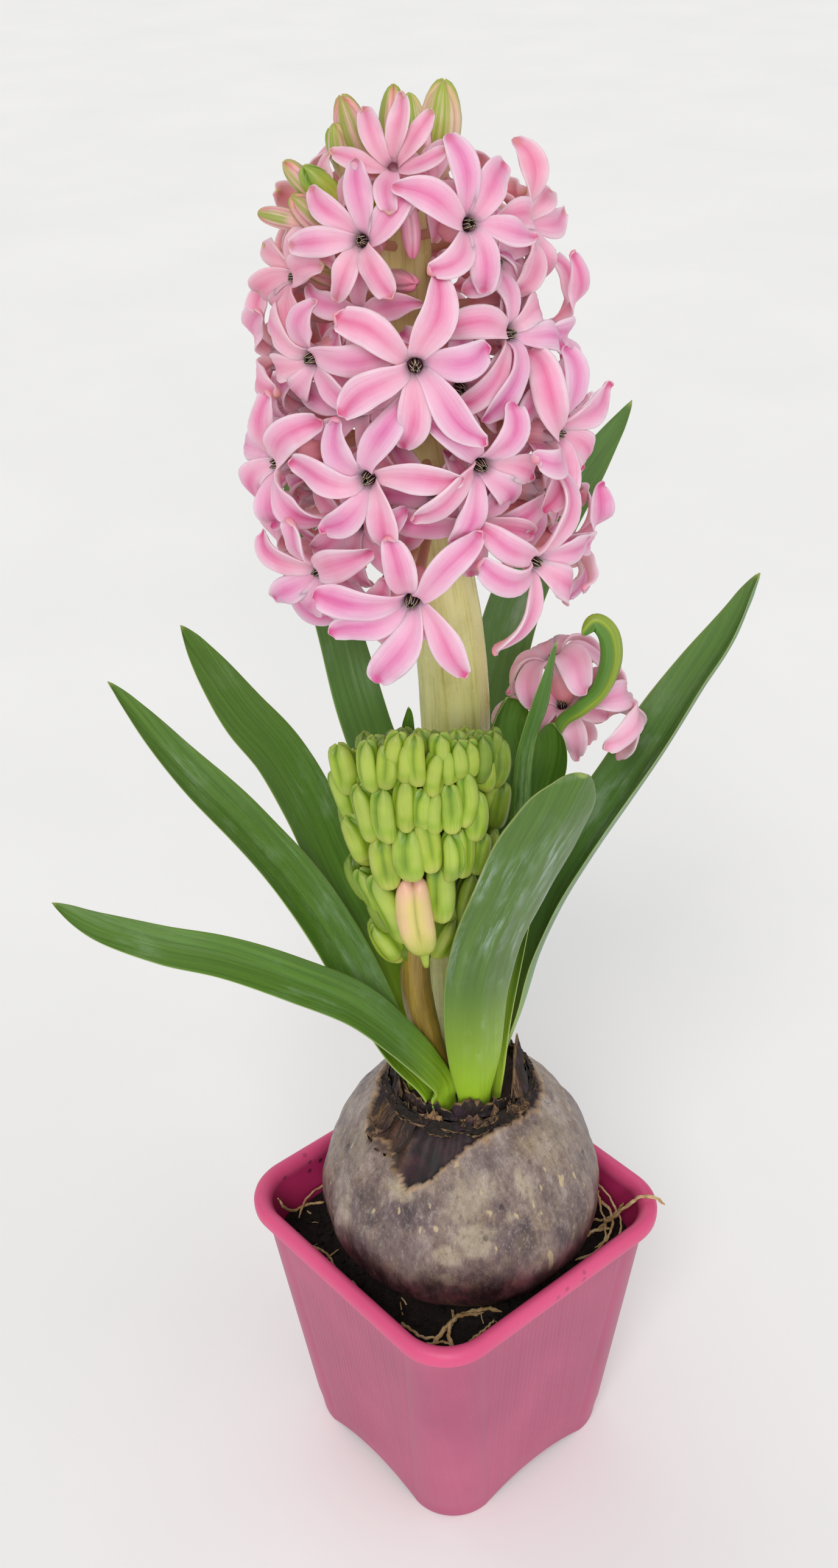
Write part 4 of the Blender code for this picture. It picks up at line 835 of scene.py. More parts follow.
LEAVES = {
    "leaf_lower_left": dict(
        path=[(-1.9, -9.6, BASE_Z), (-2.3, -10.2, 109.5), (-5.2, -12.9, 117), (-11, -16, 127), (-19, -19.5, 138.5),
              (-30, -23, 147.5), (-42, -25, 154.5), (-53, -25.5, 158), (-63, -25, 162), (-72, -22, 166)],
        widths=[6.0, 6.4, 7.6, 8.8, 9.2, 9.0, 8.4, 7.4, 5.6, 1.4], face=(0.3, -0.5, 0.8), channel=0.30),
    "leaf_mid_left": dict(
        path=[(-4.4, -8.4, BASE_Z), (-6.3, -9.9, 110.5), (-11.2, -12.8, 121.5), (-16.2, -12.4, 134), (-22.9, -9, 147),
              (-30, -6, 158.5), (-38, -4, 169), (-47, -2, 179.5), (-54, -1, 189), (-61, 0, 199)],
        widths=[4.4, 6.0, 8.6, 10.6, 11.4, 11.0, 10.2, 8.6, 6.0, 1.4], face=(0.55, -0.5, 0.65), channel=0.42),
    "leaf_upper_left": dict(
        path=[(-7.7, -1.6, BASE_Z), (-9.6, -1.8, 119), (-13.3, -0.4, 132.5), (-17.7, 3, 143), (-22.2, 7, 152.5),
              (-26.8, 11, 163.5), (-32.6, 14, 174), (-38.7, 16, 182), (-44.1, 18, 190.5), (-49.6, 20, 200)],
        widths=[5.0, 7.0, 9.4, 11.4, 12.2, 12.4, 12.0, 10.6, 7.8, 1.6], face=(0.6, -0.62, 0.5), channel=0.22),
    "leaf_rear_left": dict(
        path=[(-5.8, 7.6, BASE_Z), (-7.0, 8.6, 128), (-9.4, 10.4, 152), (-12.4, 12.5, 169), (-15.2, 15.0, 180),
              (-18.2, 19.5, 191), (-21.4, 26.5, 202), (-25, 32.5, 213), (-29.5, 38.5, 226)],
        widths=[5.0, 7.6, 9.4, 10.2, 10.0, 9.6, 8.8, 6.8, 1.6], face=(0.45, -0.85, 0.2), channel=0.24),
    "leaf_broad_right": dict(
        path=[(4.6, -9.4, BASE_Z), (4.6, -12.4, 118), (5.0, -16.8, 137), (7.2, -20.2, 151.5), (11.4, -24, 166.5),
              (16.0, -27, 179.5), (19.6, -29, 188), (22.6, -30, 195)],
        widths=[6.2, 10.5, 12.6, 13.6, 14.8, 14.8, 12.6, 4.6], face=(-0.3, 0.93, 0.2), channel=0.26),
    "leaf_long_right": dict(
        path=[(9.6, 1.2, BASE_Z), (10.6, 0.2, 112.5), (12.9, -0.6, 123.5), (15.5, -0.6, 136), (19.6, -0.4, 148),
              (25.6, 0, 160), (32.4, 1, 171.5), (40, 3, 183.5), (46.6, 5, 193.5), (52.3, 6.4, 202), (57.8, 8, 213)],
        widths=[5.2, 7.6, 10.0, 12.0, 13.0, 13.4, 13.2, 12.4, 10.6, 8.0, 1.4], face=(-0.62, -0.3, 0.72), channel=0.62),
    "leaf_rear_right": dict(
        path=[(4.2, 10.4, BASE_Z), (4.6, 11.0, 111), (5.6, 14.2, 130), (6.8, 16.6, 152), (8.0, 18.6, 174), (11.0, 21.6, 190),
              (15.6, 26.6, 203), (21.4, 30, 213), (28.5, 31, 225), (36.3, 31, 238)],
        widths=[6.2, 7.4, 10.6, 11.8, 12.0, 11.8, 11.0, 9.6, 7.2, 1.6], face=(0.35, -0.9, 0.3), channel=0.26),
    "leaf_narrow_right": dict(
        path=[(6.8, -7.3, BASE_Z), (8.2, -9.0, 124), (11.2, -10.4, 146), (13.0, -10.6, 166), (13.8, -10.8, 182),
              (15.0, -11.2, 191), (17.0, -11.8, 199), (19.2, -12.4, 211)],
        widths=[2.6, 3.2, 3.6, 4.0, 4.2, 4.0, 3.4, 1.0], face=(-0.5, 0.8, 0.2), channel=0.3),
    "leaf_cupped_left": dict(
        path=[(2.4, -6.6, BASE_Z), (4.2, -6.6, 124), (7.4, -6.0, 150), (9.8, -5.4, 170), (11.4, -4.8, 182),
              (11.2, -4.6, 189), (11.6, -4.2, 195.6)],
        widths=[3.0, 4.2, 5.6, 7.4, 9.2, 10.2, 5.4], face=(0.55, -0.8, 0.2), channel=0.62),
    "leaf_cupped_right": dict(
        path=[(9.2, -5.6, BASE_Z), (11.0, -7.2, 124), (14.2, -8.0, 148), (16.6, -7.8, 166), (18.2, -7.8, 178),
              (19.4, -8.0, 186), (19.2, -7.6, 192)],
        widths=[2.4, 3.2, 3.8, 5.0, 7.0, 7.8, 4.0], face=(-0.6, -0.75, 0.2), channel=0.5),
    "leaf_hooked": dict(
        path=[(8.9, -3.2, BASE_Z), (11.0, -4.9, 124), (14.2, -5.0, 150), (16.4, -4.8, 170), (18.6, -4.4, 183), (21.2, -4.5, 190),
              (24.8, -4.9, 193.2), (28.2, -4.6, 196.6), (30.0, -5.2, 202.5), (29.4, -5.8, 208), (27.0, -6.0, 210.6), (24.8, -6.0, 208.2)],
        widths=[1.6, 1.8, 2.0, 2.2, 2.4, 2.6, 2.8, 3.0, 3.4, 3.8, 3.6, 1.6], face=(-0.6, 0.0, 0.8), channel=0.2),
}
UL = np.concatenate([[-1, -0.98, -0.93], np.linspace(-0.85, 0.85, 19), [0.93, 0.98, 1]])
ULS = np.concatenate([UL, UL[-2:0:-1]])
ULSIDE = np.concatenate([[0], np.ones(len(UL) - 2), [0], -np.ones(len(UL) - 2)])


def leaf(name, node, path, widths, face, channel, mat, seed, thick=1.1, below=5.0, tip=0.05, blunt=0.25, wide=1.04, rows=84):
    rng = seeded(seed)
    P, F = np.array(path, float), unit(face)
    t = 1 - (1 - np.linspace(0, 1, rows)) ** 1.15
    here = catmull(P, t)
    ahead = unit(catmull(P, np.minimum(t + 0.01, 1)) - catmull(P, np.maximum(t - 0.01, 0)))
    side = unit(np.cross(ahead, F))
    inner = unit(np.cross(side, ahead))
    W = np.array(widths, float)
    W[-1] = max(W[-1], W[-2] * blunt)
    half = catmull(W, t)[:, 0] / 2 * wide
    x = np.clip((t - (1 - tip)) / tip, 0, 1)
    half = half * np.sqrt(np.maximum(0.006, 1 - x**2.2))
    # a few rows that run down into the neck
    k = 5
    down = np.linspace(1, 0, k, endpoint=False)[:, None]
    here = np.concatenate([here[0] - ahead[0] * below * down, here])
    t_all = np.concatenate([np.zeros(k), t])
    pad = lambda q: np.concatenate([np.repeat(q[:1], k, 0), q])
    ahead, side, inner, half = pad(ahead), pad(side), pad(inner), pad(half)
    U, SD = ULS[None, :], ULSIDE[None, :]
    ch = channel * np.minimum(1, t_all * 4) + 0.16 * (1 - smoothstep(t_all, 0, 0.25)) + 0.30 * smoothstep(t_all, 0.93, 1.0)
    edge_wave = 0.28 * wave_noise(t_all * 3.0, seed, 2) * smoothstep(t_all, 0.15, 0.5)
    lift = (ch * half)[:, None] * (U**2 - 0.5) + edge_wave[:, None] * U * np.abs(U)
    keel_dip = -0.35 * channel * half[:, None] * np.exp(-((U / 0.16) ** 2)) * 0.4
    flat = np.sqrt(np.maximum(0.2, 1 - (channel * 0.7) ** 2))
    body = thick * np.interp(t_all, [0, 0.1, 0.5, 0.9, 1.0], [1.25, 1.15, 0.95, 0.62, 0.25])
    th = body[:, None] / 2 * np.power(np.maximum(0, 1 - U**2), 0.36) * (1.0 + 0.22 * np.exp(-((U / 0.3) ** 2)))
    mm_across = half[:, None] * U
    ridges = 0.045 * np.cos(2 * pi * mm_across / 1.15 + 0.6) * smoothstep(t_all, 0.02, 0.1)[:, None] * (np.abs(U) < 0.93)
    up_ = lift + keel_dip + SD * (th + ridges * np.where(SD == 0, 0, 1))
    sway = 0.22 * wave_noise(t_all * 2.2, seed + 5, 2)[:, None]
    loops = here[:, None, :] + side[:, None, :] * (half[:, None] * U * flat + sway)[..., None] + inner[:, None, :] * up_[..., None]
    run = np.concatenate([[0], np.cumsum(np.linalg.norm(np.diff(here, axis=0), axis=1))])
    full = lambda q: np.broadcast_to(q, up_.shape)
    piece = Piece()
    piece.loft(loops, 0, u=full(U), t=full(t_all[:, None]), top=full((SD >= 0) * 1.0), rnd=float(rng.uniform(0.05, 1)),
               m1=full(mm_across), m2=full(run[:, None]))
    return piece.object(name, [mat], node, "leaf_green")


def hooked_leaf(path, radii, seed, K=30, rows=96):
    """The folded leaf that bends over in a hook: a thick groove-backed strap."""
    P = np.array(path, float)
    t = np.linspace(0, 1, rows)
    here = catmull(P, t)
    r = catmull(np.array(radii, float)[:, None], t)[:, 0]
    x = np.clip((t - 0.93) / 0.07, 0, 1)
    r = r * np.sqrt(np.maximum(0.02, 1 - x**2.0))
    T = unit(np.gradient(here, axis=0))
    face = np.array([0.05, -1.0, 0.25])
    A = unit(np.cross(T, face))
    B = np.cross(A, T)
    w = np.arange(K) * 2 * pi / K
    groove = 1 - 0.34 * np.exp(-(((((w - pi / 2 + pi) % (2 * pi)) - pi) / 0.42) ** 2)) * smoothstep(t, 0.25, 0.5)[:, None]
    ridge = 1 + 0.03 * np.cos(7 * w)[None]
    rad = r[:, None] * groove * ridge
    loops = here[:, None, :] + (rad * np.cos(w))[..., None] * A[:, None, :] * 1.12 + (rad * np.sin(w))[..., None] * B[:, None, :] * 0.8
    run = np.concatenate([[0], np.cumsum(np.linalg.norm(np.diff(here, axis=0), axis=1))])
    full = lambda q: np.broadcast_to(q, rad.shape)
    piece = Piece()
    piece.loft(loops, 0, u=full(0.9 * np.cos(w)[None]), t=full(t[:, None]), top=full(smoothstep(np.cos(w), -0.2, 0.5)[None] * smoothstep(t, 0.3, 0.6)[:, None]), rnd=0.4,
               m1=full(rad * np.cos(w)), m2=full(run[:, None]))
    return piece.object("leaf_hooked_blade", [LEAF_HOOK], "leaf_hooked", "leaf_green")


LEAF_LOOK = {
    "leaf_lower_left": (LEAF, dict(tip=0.05)), "leaf_mid_left": (LEAF, dict()), "leaf_upper_left": (LEAF, dict()),
    "leaf_rear_left": (LEAF_GLAUCOUS, dict()), "leaf_broad_right": (LEAF_SHEEN_STREAKED, dict(tip=0.16, blunt=0.66, thick=1.3, wide=1.09)),
    "leaf_long_right": (LEAF_GLAUCOUS, dict()), "leaf_rear_right": (LEAF_GLAUCOUS, dict()),
    "leaf_narrow_right": (LEAF_SMALL, dict(thick=0.85)), "leaf_cupped_left": (LEAF_SMALL, dict(thick=0.8, tip=0.14, blunt=0.7)),
    "leaf_cupped_right": (LEAF_SMALL, dict(thick=0.8, tip=0.14, blunt=0.7)), "leaf_hooked": (LEAF_HOOK, dict(thick=0.9, tip=0.06, blunt=0.5)),
}
for number, (name, spec) in enumerate(LEAVES.items()):
    mat, extra = LEAF_LOOK[name]
    if name == "leaf_hooked":
        out = np.interp(np.arange(12), [0, 4, 6, 8, 11], [0, 0, 2.4, 4.6, 4.6])
        bent = [(x - 0.2 * q, y - q, z + 0.62 * q) for (x, y, z), q in zip(spec["path"], out)]
        hooked_leaf(bent, [0.9, 0.9, 1.0, 1.0, 1.0, 1.1, 1.3, 1.55, 1.75, 1.7, 1.4, 0.8], 40 + number)
        continue
    leaf(name + "_blade", name, mat=mat, seed=40 + number, **spec, **extra)
# a tiny leaf tip behind the side shoot
leaf("leaf_tip_small", None, [(-6.0, -10.6, 172), (-6.2, -11.2, 181), (-6.4, -12.2, 190), (-6.7, -13.4, 199.4)], [2.6, 3.4, 3.0, 1.2], (0.1, -0.95, 0.2), 0.4, LEAF_SMALL, 77,
     thick=0.8, below=1.0, tip=0.14, blunt=0.5, rows=50)


# ---- green buds --------------------------------------------------------------------------------------------------------
def bud_material(name, body, shade, tip, base, keel, keel_and_highlight_amount):
    m = Mat(name, 0.34, Subsurface_Weight=0.16, Subsurface_Scale=0.0012, Specular_IOR_Level=0.5)
    u, t, rnd, seam = m.attr("u"), m.attr("t"), m.attr("rnd"), m.attr("m1")
    streak = m.noise(1.0, 3, 0.6, co=m.along(m.math("MULTIPLY", u, 5.0), m.math("MULTIPLY", t, 0.55), m.math("MULTIPLY", rnd, 60.0)))
    col = m.ramp(m.math("ADD", t, m.math("MULTIPLY_ADD", streak, 0.3, -0.15)), (0.0, base), (0.30, body), (0.74, body), (0.95, tip))
    col = m.mix(m.math("MULTIPLY", m.step(streak, 0.40, 0.72), 0.16), col, shade)
    col = m.mix(m.math("MULTIPLY", m.step(m.noise(170, 3, 0.5), 0.42, 0.70), 0.34), col, shade)
    col = m.mix(m.math("MULTIPLY", seam, 0.42), col, m.hsv(shade, 0.5, 1.05, 0.72))
    # paler keel colour along each lobe's ridge: the keel's own tone, and on the green buds also a painted highlight on
    # the ridges
    keel_and_highlight = m.math("MULTIPLY", m.math("MULTIPLY", m.step(m.attr("m2"), 0.35, 0.9), m.step(t, 0.25, 0.5)), keel_and_highlight_amount)
    col = m.mix(m.math("MULTIPLY", keel_and_highlight, m.step(streak, 0.2, 0.6)), col, keel)
    col = m.hsv(col, m.value(rnd, 0.492, 0.508), 1.0, m.value(m.noise(90, 2), 0.86, 1.14))
    return m.done(col, m.value(streak, 0.28, 0.46), m.bump(streak, 0.25, 0.0003, m.bump(m.noise(3600, 2), 0.1, 0.0001)))


LIME = bud_material("bud_green", srgb(156, 183, 50), srgb(94, 128, 22), srgb(120, 156, 36), srgb(192, 198, 92), srgb(200, 206, 108), 0.45)
LIME_DEEP_AND_SHADED = bud_material("bud_green_deep_and_shaded", srgb(122, 150, 38), srgb(72, 98, 18), srgb(96, 128, 28), srgb(156, 168, 66), srgb(160, 174, 76), 0.35)
CREAM = bud_material("bud_cream", srgb(232, 208, 172), srgb(222, 172, 150), srgb(206, 190, 116), srgb(232, 206, 176), srgb(150, 172, 58), 1.0)
SALMON = bud_material("bud_salmon", srgb(242, 194, 188), srgb(226, 138, 158), srgb(226, 164, 140), srgb(240, 200, 190), srgb(148, 166, 60), 0.95)
PINKBUD = bud_material("bud_pink", srgb(245, 196, 212), srgb(230, 140, 172), srgb(236, 150, 176), srgb(240, 190, 200), srgb(222, 128, 164), 0.4)
CREAM_PINK = bud_material("bud_blush", srgb(218, 204, 122), srgb(178, 182, 66), srgb(236, 186, 160), srgb(160, 182, 62), srgb(240, 184, 168), 0.6)


def bud(piece, base, tip, half, rng, mat=0, K=24, n=18, flat=1.0, facing=None, phase=None, lobes=0.055, open_tip=0.0, stem=0.0, blunt=0.0):
    """A closed bud of three folded lobes from base to tip, with its widest part at half its length."""
    base, tip = np.array(base, float), np.array(tip, float)
    ax = unit(tip - base)
    ref = np.array(facing if facing is not None else (0, -1.0, 0.1), float)
    X = unit(ref - ax * (ref @ ax))
    Y = np.cross(ax, X)
    L = np.linalg.norm(tip - base)
    t = (1 - np.cos(np.linspace(0.0, pi, n))) / 2
    spots = [0, 0.05, 0.14, 0.30, 0.50, 0.68, 0.82, 0.91, 0.965, 1.0]
    prof = np.interp(t, spots, [0.30, 0.50, 0.74, 0.94, 1.0, 0.95, 0.80, 0.60, 0.38, 0.08]) * (1 - blunt) + np.interp(t, spots, [0.42, 0.66, 0.85, 0.97, 1.0, 0.98, 0.92, 0.80, 0.60, 0.14]) * blunt
    w = np.arange(K) * 2 * pi / K
    ph = pi / 3 + rng.uniform(-1.05, 1.05) if phase is None else phase
    ph = pi / 3 - 2 * pi / K * round((pi / 3 - ph) / (2 * pi / K))  # each seam falls on a line of the mesh
    q = w[None, :] + ph + 0 * t[:, None]
    lobe = np.abs(np.cos(1.5 * q))
    seam = np.exp(-((lobe / 0.15) ** 2)) * smoothstep(t, 0.16, 0.42)[:, None]
    tri = 1 + lobes * (lobe - 0.6) * 1.8 - 0.17 * seam
    r = half * prof[:, None] * tri
    bend = rng.uniform(-0.06, 0.06, 2) * L
    ctr = base + ax * (t[:, None] * L) + X * (bend[0] * np.sin(t * pi))[:, None] + Y * (bend[1] * np.sin(t * pi))[:, None]
    rise = open_tip * half * (lobe - 0.5) * smoothstep(t, 0.75, 1.0)[:, None]
    loops = ctr[:, None, :] + (r * np.cos(w))[..., None] * X * flat + (r * np.sin(w))[..., None] * Y + rise[..., None] * ax
    full = lambda z: np.broadcast_to(z, r.shape)
    piece.loft(loops, mat, u=full(np.abs(np.sin(w * 0.5))[None] * 3.0), t=full(t[:, None]), rnd=float(rng.uniform(0.05, 1)), m1=full(seam), m2=full(np.clip(lobe, 0, 1)))
    if stem:
        path = np.linspace(base + ax * 0.6, base - ax * stem, 5)
        piece.loft(tube_rings(path, np.linspace(half * 0.36, 0.55, 5), 10), mat, u=0.3, t=0.02, rnd=0.3)


# the second flower spike, still in bud: (base, tip, half width)
BUDS = [
    ((-17.3, -19.6, 186.3), (-18.9, -18.2, 194.6), 1.9), ((-12.8, -24.3, 189.6), (-13.7, -24.2, 198.7), 1.5), ((-10.8, -25.4, 190.8), (-10.1, -25.5, 198.6), 1.6),
    ((-8.9, -24.8, 195.0), (-8.3, -26.1, 201.4), 1.4), ((-7.5, -26.0, 192.4), (-7.1, -26.2, 199.6), 1.4), ((-5.1, -26.4, 191.9), (-5.6, -26.4, 201.0), 1.5),
    ((-2.7, -26.2, 189.6), (-1.7, -26.2, 197.4), 1.6), ((0.1, -25.1, 191.2), (0.2, -25.9, 197.9), 1.5), ((-1.0, -25.2, 195.6), (-1.3, -26.4, 201.0), 1.3),
    ((2.0, -24.6, 192.2), (1.7, -25.8, 199.2), 1.4), ((3.9, -23.9, 192.0), (3.6, -25.2, 198.8), 1.4), ((5.6, -22.8, 190.0), (6.0, -24.2, 199.1), 1.6),
    ((7.9, -20.6, 187.6), (8.6, -22.2, 197.5), 1.7), ((8.3, -20.9, 193.0), (7.9, -23.0, 199.4), 1.4),
    ((-17.5, -19.2, 180.8), (-20.0, -17.5, 188.8), 1.5), ((-13.6, -22.9, 178.6), (-15.4, -22.5, 188.8), 2.0), ((-10.6, -25.0, 179.6), (-11.3, -24.9, 189.8), 1.9),
    ((-7.5, -26.0, 182.4), (-7.3, -25.8, 192.2), 1.8), ((-4.4, -25.5, 182.4), (-4.4, -25.8, 189.8), 1.5), ((-2.5, -25.5, 181.4), (-2.1, -25.6, 189.4), 1.6),
    ((0.5, -25.5, 181.4), (0.1, -25.4, 190.4), 1.7), ((2.7, -25.0, 182.4), (2.9, -25.0, 192.6), 1.6), ((4.4, -23.6, 178.4), (4.7, -23.8, 187.8), 1.7),
    ((8.4, -18.4, 177.6), (9.6, -19.4, 186.8), 1.7),
    ((-15.4, -19.9, 172.4), (-17.7, -20.3, 181.3), 2.1), ((-10.8, -23.5, 168.6), (-12.1, -23.5, 178.4), 2.1), ((-6.6, -25.1, 171.4), (-7.3, -24.9, 181.2), 2.2),
    ((-3.2, -25.3, 173.2), (-4.4, -25.2, 183.2), 1.9), ((-0.1, -24.6, 170.6), (0.1, -24.8, 180.0), 1.7), ((2.3, -23.8, 170.8), (2.5, -23.9, 180.2), 1.7),
    ((5.0, -21.4, 169.6), (6.0, -21.8, 177.8), 1.6), ((-8.6, -20.1, 154.4), (-13.4, -20.6, 168.0), 2.4), ((-1.7, -22.6, 160.4), (-1.7, -23.4, 172.4), 2.2),
    ((3.0, -19.4, 157.0), (4.4, -20.4, 168.4), 1.9),
]
CREAM_BUD = ((-5.1, -23.2, 153.2), (-6.9, -23.0, 169.6), 3.3)


def bud_raceme():
    rng = seeded(61)
    piece = Piece()
    core_z = np.linspace(140, 192, 26)
    f = (core_z - 143.6) / 45.0
    share = 0.30 + 0.70 * np.clip(f / 0.75, 0.0, 1) ** 0.8
    share = share * np.interp(core_z, [140, 146, 188, 192], [0.5, 1, 0.92, 0.55])
    cx, cy = -6.8 + 2.4 * f, -12.0 - 4.4 * f
    K = 40
    w = np.arange(K) * 2 * pi / K
    rings = np.stack([cx[:, None] + 11.6 * share[:, None] * np.cos(w), cy[:, None] + 6.6 * share[:, None] * np.sin(w), np.repeat(core_z[:, None], K, 1)], -1)
    rings += 0.5 * np.sin(7 * w + core_z[:, None])[..., None] * np.array([1, 1, 0])
    # the core inside the spike is the deeper green, darkened further through its seam value: painted shade between the
    # buds
    piece.loft(rings, 1, u=np.broadcast_to((w / 2)[None], rings.shape[:2]), t=0.35, rnd=0.4, m1=0.55)
    for base, tip, half in BUDS:
        # buds on the right and low down take the deeper green: painted shade on the spike's shaded side
        mat = 1 if tip[0] + 0.10 * (188 - tip[2]) + rng.uniform(-2.5, 2.5) > 4.6 else 0
        b, q = np.array(base, float), np.array(tip, float)
        bud(piece, b - (q - b) * 0.05, q + (q - b) * 0.03, max(2.0, half * 1.24), rng, mat, K=24, n=15, open_tip=0.45, stem=0.0, blunt=0.9, lobes=0.10, flat=0.92)
    # rows round the sides and the back
    for row, (z, wide, tilt) in enumerate([(184.5, 1.0, 0.16), (178.0, 1.0, 0.30), (172.0, 0.93, 0.40), (163.5, 0.80, 0.48), (155.0, 0.62, 0.55), (148.0, 0.45, 0.6)]):
        g = (z - 143.6) / 45.0
        mx, my = -6.8 + 2.4 * g, -12.0 - 4.4 * g
        count = int(round(15 * wide)) + 3
        for k in range(count):
            a = 2 * pi * (k + 0.5 * (row % 2)) / count + rng.uniform(-0.08, 0.08)
            ca, sa = cos(a), sin(a)
            if sa < -0.35 and not (row >= 3 and abs(ca) > 0.86):
                continue
            r = wide * (1 + rng.uniform(-0.05, 0.05))
            p = np.array([mx + 12.2 * r * ca, my + 7.4 * r * sa, z + rng.uniform(-1.6, 1.6)])
            length = rng.uniform(9.0, 10.8)
            d = unit(np.array([ca * tilt * 0.8, sa * tilt * 0.7, 1.0]))
            bud(piece, p - d * length * 0.45, p + d * length * 0.55, rng.uniform(2.1, 2.5), rng, 1 if rng.uniform() < 0.35 else 0, K=21, n=12, open_tip=0.4, blunt=0.8, lobes=0.09,
                facing=(ca, sa, 0.1))
    # crown seen from above
    for x in np.linspace(-13.2, 6.4, 8):
        for y in (-21.0, -17.0, -12.8):
            px, py = x + rng.uniform(-0.7, 0.7) + (1.3 if y == -17.0 else 0), y + rng.uniform(-0.7, 0.7)
            top = 198.4 + rng.uniform(-1.2, 1.0) - 0.012 * (x + 4) ** 2 - 0.55 * (y + 21.0)
            bud(piece, (px - 0.02 * x, py, top - 9.6), (px + 0.05 * x, py + 0.03 * (y + 17), top), rng.uniform(2.0, 2.3), rng, 1 if rng.uniform() < 0.4 else 0,
                K=21, n=12, open_tip=0.4, blunt=0.9, lobes=0.09)
    bud(piece, *CREAM_BUD, rng, 2, K=42, n=28, open_tip=0.55, stem=3.4, phase=0.9, blunt=1.0, lobes=0.10)
    return piece.object("bud_raceme", [LIME, LIME_DEEP_AND_SHADED, CREAM_PINK], "bud_cluster", "bud_green")


bud_raceme()

# closed buds at the top of the open raceme: foot, axis, length, radius, finish, stripe phase
TOP_BUDS = {
    "top_bud_1": ((-8.4, 1.2, 286.2), (-5.2, -2.0, 12.2), 13.4, 2.6, SALMON, 0.2),
    "top_bud_2": ((-5.4, 2.4, 286.6), (-0.4, 0.2, 12.4), 12.6, 2.1, SALMON, 1.0),
    "top_bud_3": ((-1.0, 1.6, 286.0), (2.8, -1.2, 14.0), 14.2, 3.1, CREAM, 0.1),
    "top_bud_4": ((-9.2, 4.2, 283.4), (-6.4, 0.4, 9.2), 11.4, 2.3, LIME, 1.4),
    "top_bud_5": ((-4.2, 6.2, 284.8), (0.8, 4.6, 11.6), 12.4, 2.3, CREAM, 2.2),
}
for number, (name, (foot, axis, length, radius, mat, phase)) in enumerate(TOP_BUDS.items()):
    piece = Piece()
    a = unit(axis)
    bud(piece, np.array(foot) + a * 0.8, np.array(foot) + a * length, radius * 1.06, seeded(80 + number), 0, K=42, n=34, phase=phase, lobes=0.07, open_tip=0.45, stem=3.2)
    piece.object(name + "_closed", [mat], name, "bud_pink")
# small closed buds tucked between the open flowers
SMALL_BUDS = [
    ((-13.6, -4.4, 281.6), (-19.6, -6.4, 289.4), 2.4, LIME), ((-2.6, -2.2, 283.0), (-1.6, -9.0, 288.6), 1.7, PINKBUD), ((3.4, -1.0, 281.4), (6.2, -7.6, 287.4), 1.8, PINKBUD),
    ((-6.6, -2.8, 272.0), (-3.4, -13.4, 273.6), 1.7, PINKBUD), ((1.2, -2.2, 272.4), (0.8, -13.0, 276.0), 1.8, PINKBUD), ((-12.4, 0.2, 268.6), (-20.6, -5.0, 274.2), 2.1, SALMON),
    ((-4.6, 7.4, 281.6), (-5.0, 12.6, 292.0), 2.2, SALMON), ((-0.4, 6.0, 283.8), (3.6, 9.8, 292.4), 2.1, CREAM), ((-9.6, 6.0, 280.4), (-15.0, 9.2, 288.0), 2.1, LIME),
    ((-3.0, -3.0, 248.0), (3.6, -17.0, 252.6), 2.2, PINKBUD), ((-8.2, -2.4, 256.0), (-14.4, -12.6, 254.0), 2.3, PINKBUD), ((1.6, -2.6, 253.0), (12.0, -11.0, 256.4), 2.3, PINKBUD),
    ((-6.8, -2.6, 233.0), (-14.6, -13.6, 235.4), 2.4, PINKBUD), ((3.0, -2.6, 233.4), (7.0, -14.2, 236.2), 2.4, PINKBUD),
    ((-4.8, -8.6, 286.0), (-3.7, -12.4, 277.4), 1.5, PINKBUD), ((-0.8, -4.2, 291.6), (-0.5, -7.6, 285.4), 1.6, PINKBUD), ((-12.6, -1.6, 285.6), (-14.8, -2.4, 294.8), 1.8, CREAM),
    ((-16.6, -4.0, 283.6), (-22.6, -4.6, 290.0), 1.8, SALMON), ((-20.0, -5.0, 280.9), (-27.0, -4.4, 282.6), 1.6, SALMON), ((-15.4, -6.4, 279.6), (-21.6, -7.0, 285.4), 2.1, SALMON),
]
for number, (base, tip, half, mat) in enumerate(SMALL_BUDS):
    piece = Piece()
    bud(piece, base, tip, half, seeded(140 + number), 0, K=27, n=20, lobes=0.08, open_tip=0.5, stem=3.0, blunt=0.3)
    piece.object(f"small_bud_{number + 1}", [mat], None, "bud_pink")


# ---- bulb -------------------------------------------------------------------------------------------------------------
def lattice(seed, n=64):
    return seeded(seed).uniform(-1, 1, (n, n, n))


LATTICE = lattice(9, 32)


def vnoise(P, scale, octaves=3, gain=0.5, offset=0.0):
    """Smooth 3-D value noise of points (…, 3) in mm, about -1..1; scale is the size of its largest cells in mm."""
    P = np.asarray(P, float)
    out, amp, tot = 0, 1.0, 0
    for k in range(octaves):
        q = P / scale * 2**k + offset + 13.7 * k + 500
        i = np.floor(q).astype(int)
        f = q - i
        f = f * f * (3 - 2 * f)
        v = 0
        for dx in (0, 1):
            for dy in (0, 1):
                for dz in (0, 1):
                    wgt = (f[..., 0] if dx else 1 - f[..., 0]) * (f[..., 1] if dy else 1 - f[..., 1]) * (f[..., 2] if dz else 1 - f[..., 2])
                    v = v + wgt * LATTICE[(i[..., 0] + dx) % 32, (i[..., 1] + dy) % 32, (i[..., 2] + dz) % 32]
        out = out + amp * v
        tot += amp
        amp *= gain
    return out / tot * 1.5


BULB_PROFILE = [
    (0.3, NECK_TOP), (8.0, NECK_TOP), (12.6, NECK_TOP - 0.2), (14.2, NECK_TOP - 1.6), (18.0, 98.2), (23.2, 92.0), (27.2, 85.0),
    (29.6, 78.0), (BULB_R, BULB_MID + 1.0), (29.4, 67.0), (27.4, 63.0), (24.6, 60.2), (20.6, 57.6), (14.0, 55.0), (7.0, 53.4), (0.3, 53.0),
]
